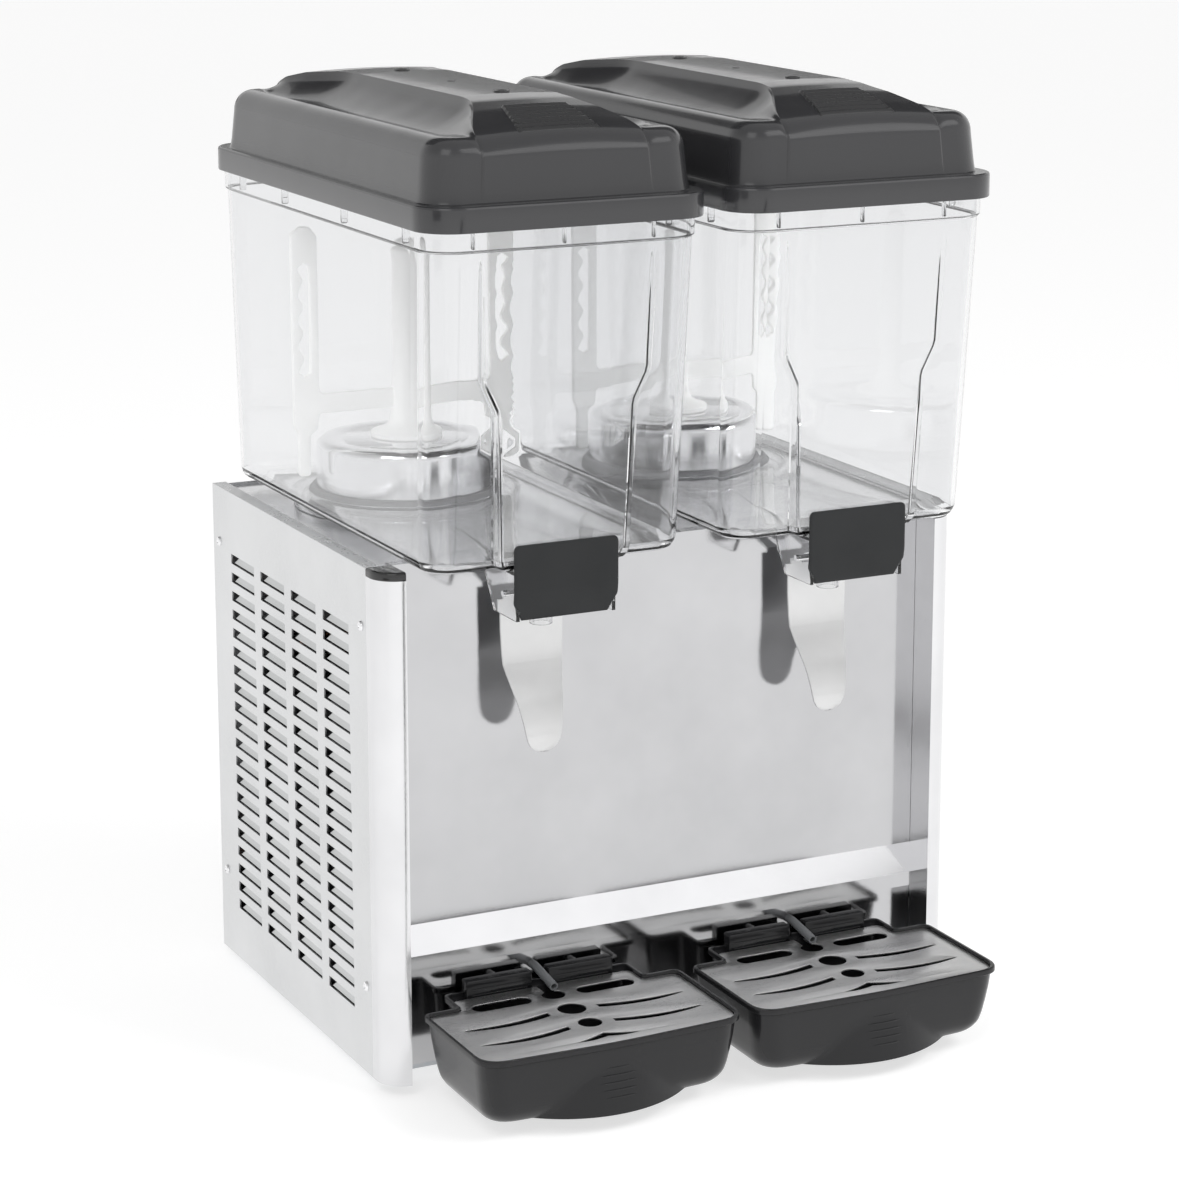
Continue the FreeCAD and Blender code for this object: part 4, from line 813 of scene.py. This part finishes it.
def valve_spring(side):
    """A coil that fills the valve spring's box, unsqueezed. The lever squeezes the real one against
    the housing's roof as it lifts the valve.
    """
    node = f"{side}_valve_spring"
    low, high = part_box(node)
    wire, coils, steps, squeezed = 0.0006, 4.5, 24, 0.68
    middle, radius, count = (low + high) / 2, (high.x - low.x) / 2 - wire, int(coils * steps)
    rings = []
    for i in range(count + 1):
        a = 2 * pi * i / steps
        out = Vector((cos(a), sin(a), 0))
        z = mix(low.z + wire, high.z - wire, i / count)
        centre = Vector((middle.x, middle.y, z)) + out * radius
        rings.append([centre + out * wire * cos(t) + Vector((0, 0, wire * sin(t))) for t in turns(8)])
    bm = bmesh.new()
    skin_rings(bm, rings)
    spring = piece_from(f"{side}_spring_coil", bm, "polished", f"{side}_bowl_unit",
                        (node,))
    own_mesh(spring)


# ---------------------------- drip trays

TRAY = Sizes(low=4.5, top=51.6, half=94.0, front=-132.5, bow=4.0, back=-5.0, shoulder=-31.0,
            neck=68.5, belly_front=-136.4, belly_radius=85.0, belly_draft=10.5, belly_high=41.5)
TRAY_CORNERS = [600, 17, 7, 4, 6, 6, 4, 7, 17]
CORNER_STEPS = 7
DRAFT = [(0, 13.6), (0.4, 12.4), (1.2, 11.4), (3, 9.8), (7, 7.4), (13, 5.9), (22, 4.4), (32, 3.0),
         (42, 2.0), (43.1, 1.8)]


def tray_corners(inset, cut=0.0):
    """The tray's rounded plan: a neck at the rear, shoulders and a slightly bowed front."""
    half, front, back = TRAY.half - inset, TRAY.front + inset, TRAY.back - inset - cut
    shoulder, neck = TRAY.shoulder - inset, TRAY.neck - inset
    right = [(half, front + TRAY.bow), (half, shoulder), (neck, shoulder), (neck, back)]
    points = [(0, front)] + right + [(-x, y) for x, y in reversed(right)]
    return rounded_profile(points, TRAY_CORNERS, CORNER_STEPS)


def tray_outline(inset):
    """The plan with its long edges divided, the same way for any inset."""
    result = []
    for full, (start, end) in zip(around(tray_corners(0)), around(tray_corners(inset))):
        count = max(1, round(dist(*full) / 2.0))
        result += [between(start, end, k / count) for k in range(count)]
    return result


def belly_front(x, z):
    """How far forwards the crescent on the tray's front reaches."""
    radius = TRAY.belly_radius - TRAY.belly_draft * (z - TRAY.low) / TRAY.belly_high
    return TRAY.belly_front + TRAY.belly_radius - sqrt(max(radius ** 2 - x ** 2, 0))


def tray_shell(side, centre):
    """The tray's tapering tub: outside, rolled rim, step for the grille, and inside."""
    low, top = TRAY.low, TRAY.top

    def ring(inset, z, outer=False):
        points = []
        for x, y in tray_outline(inset):
            if outer and y < -90:
                swell = belly_front(x, z) + max(z - top + 9, 0)
                y = min(y, swell) - 0.5 * log(1 + exp(-abs(y - swell) / 0.5))
            points.append(spot(centre + x, max(y, TRAY.belly_front), z))
        return points

    rises = [0, 0.2, 0.4, 0.8, 1.2, 2, 3, 4.5, *range(6, 43, 2)]
    rings = [ring(34, low), ring(18, low)]
    rings += [ring(table(DRAFT, rise), low + rise, True) for rise in rises]
    rings += [ring(inset, top - drop) for inset, drop in (
        (0.5, 4.0), (0, 3.5), (0, 0.7), (0.25, 0.2), (0.8, 0), (1.9, 0), (2.3, 0.4), (2.4, 3.4),
        (4.6, 3.4), (5.0, 5))]
    rings += [ring(inset, low + rise) for inset, rise in ((9.5, 9), (12, 4.4), (15, 2.7), (34, 2.6))]
    bm = bmesh.new()
    skin_rings(bm, rings)
    piece_from(f"{side}_tray_shell", bm, "tray", f"{side}_tray_unit",
               (f"{side}_drip_tray",), 38.0)


def tray_hooks(side, centre):
    """Two ribbed blocks at the tray's rear with sockets that hang on the pegs."""
    foot, head, peg_x, peg_z = 45.6, 60.4, 30, 55.8
    bm = bmesh.new()
    for k in (-1, 1):
        x1, x2 = sorted((k * 6.0, k * 54.0))

        def slab(edge, y, foot=foot, head=head):
            left, right, top = x1 + edge, x2 - edge, head - edge
            corners = [(left, foot), (right, foot), (right, top), (left, top)]
            outline = rounded_profile(corners, [0.3, 0.3, 1.6, 1.6])
            return [spot(centre + x, y, z) for x, z in outline]

        skin_rings(bm, [slab(edge, y) for edge, y in (
            (0.7, -13.0), (0.2, -12.8), (0, -12.3), (0, -5.2), (0.5, -5.0))])
        for z in (49.5, 53.5):
            skin_rings(bm, [slab(3.5, y, z, z + 4.4) for y in (-13.4, -12.6)])
        socket = [(0, -6), (4, -6), (4, 10.4), (3.4, 11), (0, 11)]
        lathe(bm, socket, (centre + k * peg_x, 0, peg_z), 32, "y")
    piece_from(f"{side}_tray_hooks", bm, "tray", f"{side}_tray_unit")


def tray_grip(side, centre):
    """Five raised bars on the belly, the middle one the longest."""
    first, step, bars, parts, swell, foremost = 15.0, 4.6, 5, 18, 0.7, -135.9
    bm = bmesh.new()
    for k in range(bars):
        z = first + k * step
        half = 15 - 0.8 * (k - 2) ** 2
        rings = []
        for i in range(parts + 1):
            x = mix(-half, half, i / parts)
            thick = swell * smooth(min(i, parts - i) / 4) + 0.02
            front = max(belly_front(x, z), foremost)
            rings.append([spot(centre + x, front - thick * cos(t) * 0.7, z + thick * sin(t))
                          for t in turns(8)])
        skin_rings(bm, rings)
    piece_from(f"{side}_tray_grip", bm, "tray", f"{side}_tray_unit")


def pill(x1, x2, y, radius):
    """A slot with round ends."""
    half_turn = [pi * k / 12 for k in range(13)]
    right = [(x2 + radius * sin(a), y - radius * cos(a)) for a in half_turn]
    return right + [(x1 - radius * sin(a), y + radius * cos(a)) for a in half_turn]


def bowed_slot(side, outer, inner, y, sag, width):
    """A slot from a round outer end to a square inner end, sagging towards the front."""
    near, far = [], []
    for k in range(25):
        t = k / 24
        x, bend = side * mix(outer, inner, t), sag * 4 * t * (1 - t)
        near.append((x, y - bend))
        far.append((x, y - bend + width * sqrt(1 - (1 - t) ** 2.2)))
    return near + far[:0:-1]


def chevron(half, y):
    """The arrow-shaped slot in the middle of the grille's front."""
    across = [mix(-1, 1, k / 24) for k in range(25)]
    near = [(half * u, y - 1.8 * sin(pi * abs(u)) + 1.2 * (1 - abs(u)) ** 2) for u in across]
    return near + [(half * u, y + 8 * (1 - abs(u)) ** 1.6) for u in across[-2:0:-1]]


def grille(side, centre):
    """The perforated plate: two holes, slots with round ends, bowed slots and a chevron."""
    thickness, bevel, middle_z = 0.0012, 0.0002, 48.9

    def lying(u, v, w):
        return spot(centre + u * 1000, v * 1000, middle_z + w * 1000)

    holes = [circle(0, -61, 9.6), circle(0, -88, 8)]
    for k in (-1, 1):
        holes.append(pill(*sorted((k * 23.3, k * 52.7)), -34, 6.3))
        holes.append(bowed_slot(k, 81, 17.5, -66.5, 5, 6.2))
        holes.append(bowed_slot(k, 81, 16, -93.5, 5.5, 5.8))
    holes.append(chevron(25, -115.5))
    outline = tray_corners(2.7, 7.1)
    keyhole = [(8 * sin(radians(a)), -33 + 8 * cos(radians(a))) for a in range(28, 333, 8)]
    rear_edge = 5 * (CORNER_STEPS + 1)
    outline[rear_edge:rear_edge] = [(3.7, -14.8)] + keyhole + [(-3.7, -14.8)]
    plate(f"{side}_grille_plate", metres(outline), list(map(metres, holes)), lying, thickness, bevel,
          "brushed", f"{side}_grille_unit", (f"{side}_tray_grille",))


# ---------------------------- cabinet details

CABINET_HALF, CABINET_DEEP = 215, 284


def post_cap(side, sign):
    """The glossy cap on a corner post, rounded along its upper edge."""
    radius, post_x, post_y = 18, CABINET_HALF - 18, -6
    rings = []
    for z, inset in ((341.05, 0.0), (344.6, 0.0), (345.8, 0.4), (346.3, 1.1), (346.5, 2.2)):
        r = radius - inset
        points = [(-CABINET_HALF + inset, 0.0)]
        for k in range(13):
            a = radians(180 + 90 * k / 12)
            points.append((-post_x + r * cos(a), post_y + r * sin(a)))
        points.append((-post_x - inset * 0.3, 0.0))
        rings.append([spot(-sign * x, y, z) for x, y in points])
    bm = bmesh.new()
    skin_rings(bm, rings)
    piece_from(f"{side}_cap_top", bm, "cap", "root", (f"{side}_post_cap",), 50.0)


def louvre_flaps():
    """The pressed flap in each side slot: near the skin at its foot, deeper at its top."""
    first_y, step_y, long, top, step_z, high, thick = 30.4, 57.7, 45.0, 301.8, 13.47, 7.0, 0.22
    columns, rows, parts = 4, 20, 10
    slots = [(sign, first_y + column * step_y, top - row * step_z - high)
             for _, sign in SIDES for column in range(columns) for row in range(rows)]
    bm = bmesh.new()
    for sign, front, foot in slots:
        rings = []
        for k in range(parts + 1):
            u = k / parts
            depth = 1.35 + 1.95 * (1 - (1 - u) ** 1.6)
            back = depth + thick
            rear = front + long - 1.4 - 8.6 * u ** 0.75 - 1.6 * (1 - u) ** 6
            z = mix(foot + 0.85, foot + high - 0.06, u)
            corners = ((depth, front), (depth, rear), (back, rear), (back, front))
            rings.append([spot(sign * (CABINET_HALF - d), y, z) for d, y in corners])
        skin_rings(bm, rings)
    piece_from("louvre_flaps", bm, "flap", "root", (), 30.0)


def screws():
    """Pan-head screws with a round recess."""
    spots = [(sign * CABINET_HALF, y, z, sign, "x")
             for _, sign in SIDES for y in (9, 272) for z in (61, 306)]
    spots += [(x, CABINET_DEEP, z, 1, "y") for x in (-200, 0, 200) for z in (20, 330)]
    head = [(0, 0), (3.3, 0), (3.4, 0.4), (2.9, 1.2), (1.9, 1.6), (1.5, 1.65), (1.1, 0.7), (0, 0.6)]
    bm = bmesh.new()
    for x, y, z, sign, along in spots:
        lathe(bm, [(r, sign * h) for r, h in head], (x, y, z), 28, along)
    piece_from("screw_heads", bm, "polished", "root", ("panel_screws",), 30.0)


# ---------------------------- stage, lights and camera

# name, place, aim, width, height, power, and the glow of the card that reflections see in its place
LAMPS = (("key", (1.45, -1.75, 2.5), (0, -0.05, 0.1), 1.5, 1.1, 42, 1.7),
         ("front", (-1.5, -1.6, 2.4), (0, 0, 0.35), 1.4, 1.4, 24, 1.5))
# Cards that only reflections see. They give the post its dark line and the lids their contrast.
DARK_CARDS = (("dark_strip", [(-0.215, -0.26, 0.002), (0.05, -2.13, 0.002), (0.24, -2.09, 0.002)],
               0.02),
              ("dark_floor", [(-1.73, -1.49, 0.002), (-3.65, -3.09, 0.002), (-4.55, -1.37, 0.002),
                              (-2.13, -0.72, 0.002)], 0.02),
              ("dark_backdrop", [(-1, 8, 0.9), (9, 8, 0.9), (9, 8, 1.7), (-1, 8, 1.7)], 0.05),
              ("dark_ceiling", [(-1.5, 1.2, 3), (4.5, 1.2, 3), (4.5, 4.6, 3), (-1.5, 4.6, 3)], 0.02))
# The dome's strength between two heights of its direction, from the horizon up.
DOME = {"From Min": 0.12, "From Max": 0.8, "To Min": 0.95, "To Max": 0.5}
FLOOR_HALF, FLOOR_SHADE, FLOOR_GLOW = 60, 0.45, 0.66
# The camera's yaw, pitch and roll are in degrees, its lens and sensor in millimetres.
CAMERA_PLACE, CAMERA_TURNS, SHIFT = (-0.997, -1.9937, 0.8624), (27.06, 12.2, 0.12), (-0.04, -0.10)
LENS, SENSOR = 101.4351145, 36


def area(name, place, aim, wide, tall, power):
    """A soft box that stays out of reflections."""
    light = bpy.data.lights.new(name, "AREA")
    light.energy = power
    light.size = wide
    light.shape = "RECTANGLE"
    light.size_y = tall
    holder = add_object(name, light)
    holder.location = place
    holder.rotation_euler = (Vector(aim) - Vector(place)).to_track_quat("-Z", "Y").to_euler()
    holder.visible_glossy = False
    return holder


def matt(name, shade, glow):
    m = Nodes(name)
    m.set(Base_Color=(shade, shade, shade, 1), Roughness=0.9, Specular_IOR_Level=0.1)
    m.set(Emission_Color=(1, 1, 1, 1), Emission_Strength=glow)
    return m.material


def card(name, corners, shade, glow, placing=None):
    """A flat card that only reflections see: a lamp's face, or something dark."""
    mesh = bpy.data.meshes.new(name)
    mesh.from_pydata(corners, [], [range(len(corners))])
    piece = add_object(name, mesh)
    if placing:
        piece.matrix_world = placing
    mesh.materials.append(matt(name, shade, glow))
    piece.visible_camera = piece.visible_diffuse = False
    piece.visible_shadow = piece.visible_transmission = False


def studio():
    """A white floor, a dome that dims upwards, two soft boxes and the cards for reflections."""
    bm = bmesh.new()
    bmesh.ops.create_grid(bm, x_segments=1, y_segments=1, size=FLOOR_HALF)
    mesh = bpy.data.meshes.new("floor")
    bm.to_mesh(mesh)
    bm.free()
    floor = add_object("floor", mesh)
    mesh.materials.append(matt("floor_white", FLOOR_SHADE, FLOOR_GLOW))
    world = bpy.data.worlds.new("studio")
    bpy.context.scene.world = world
    world.use_nodes = True
    nodes, links = world.node_tree.nodes, world.node_tree.links
    background = nodes["Background"]
    background.inputs[0].default_value = (1, 1, 1, 1)
    split = nodes.new("ShaderNodeSeparateXYZ")
    fade = nodes.new("ShaderNodeMapRange")
    fade.interpolation_type = "SMOOTHSTEP"
    for key, value in DOME.items():
        fade.inputs[key].default_value = value
    links.new(nodes.new("ShaderNodeTexCoord").outputs["Generated"], split.inputs[0])
    links.new(split.outputs["Z"], fade.inputs["Value"])
    links.new(fade.outputs[0], background.inputs[1])
    for name, place, aim, wide, tall, power, glow in LAMPS:
        lamp = area(name, place, aim, wide, tall, power)
        bpy.context.view_layer.update()
        corners = [(u * wide / 2, v * tall / 2, 0) for u, v in ((-1, -1), (1, -1), (1, 1), (-1, 1))]
        card(f"{name}_face", corners, 0.02, glow, lamp.matrix_world.copy())
    for name, corners, shade in DARK_CARDS:
        card(name, corners, shade, 0.0)
    bpy.context.scene.view_settings.view_transform = "Standard"


def camera():
    data = bpy.data.cameras.new("camera")
    holder = add_object("camera", data)
    bpy.context.scene.camera = holder
    yaw, pitch, roll = map(radians, CAMERA_TURNS)
    forward = Vector((sin(yaw) * cos(pitch), cos(yaw) * cos(pitch), -sin(pitch)))
    right = Vector((cos(yaw), -sin(yaw), 0))
    up = right.cross(forward)
    right, up = right * cos(roll) + up * sin(roll), up * cos(roll) - right * sin(roll)
    axes = Matrix((right, up, -forward)).transposed()
    holder.matrix_world = Matrix.Translation(CAMERA_PLACE) @ axes.to_4x4()
    data.sensor_width, data.lens = SENSOR, LENS
    data.shift_x, data.shift_y = SHIFT
    data.clip_start, data.clip_end = 0.05, 200


def main():
    for key, names in CAD_MATERIALS.items():
        for name in names.split():
            for node in sorted({name.replace("*", side) for side, _ in SIDES}):
                dress(NODES[node], key)
    for side, sign in SIDES:
        for build in (lid_shell, lid_vent, lid_plugs, bowl_shell, bowl_ribs, drum, stirrer,
                      tap_cover, lever):
            build(side, sign * BOWL_X)
        valve_spring(side)
        for build in (tray_shell, tray_hooks, tray_grip, grille):
            build(side, sign * TRAY_X)
        post_cap(side, sign)
    gaskets()
    louvre_flaps()
    screws()
    studio()
    camera()


main()
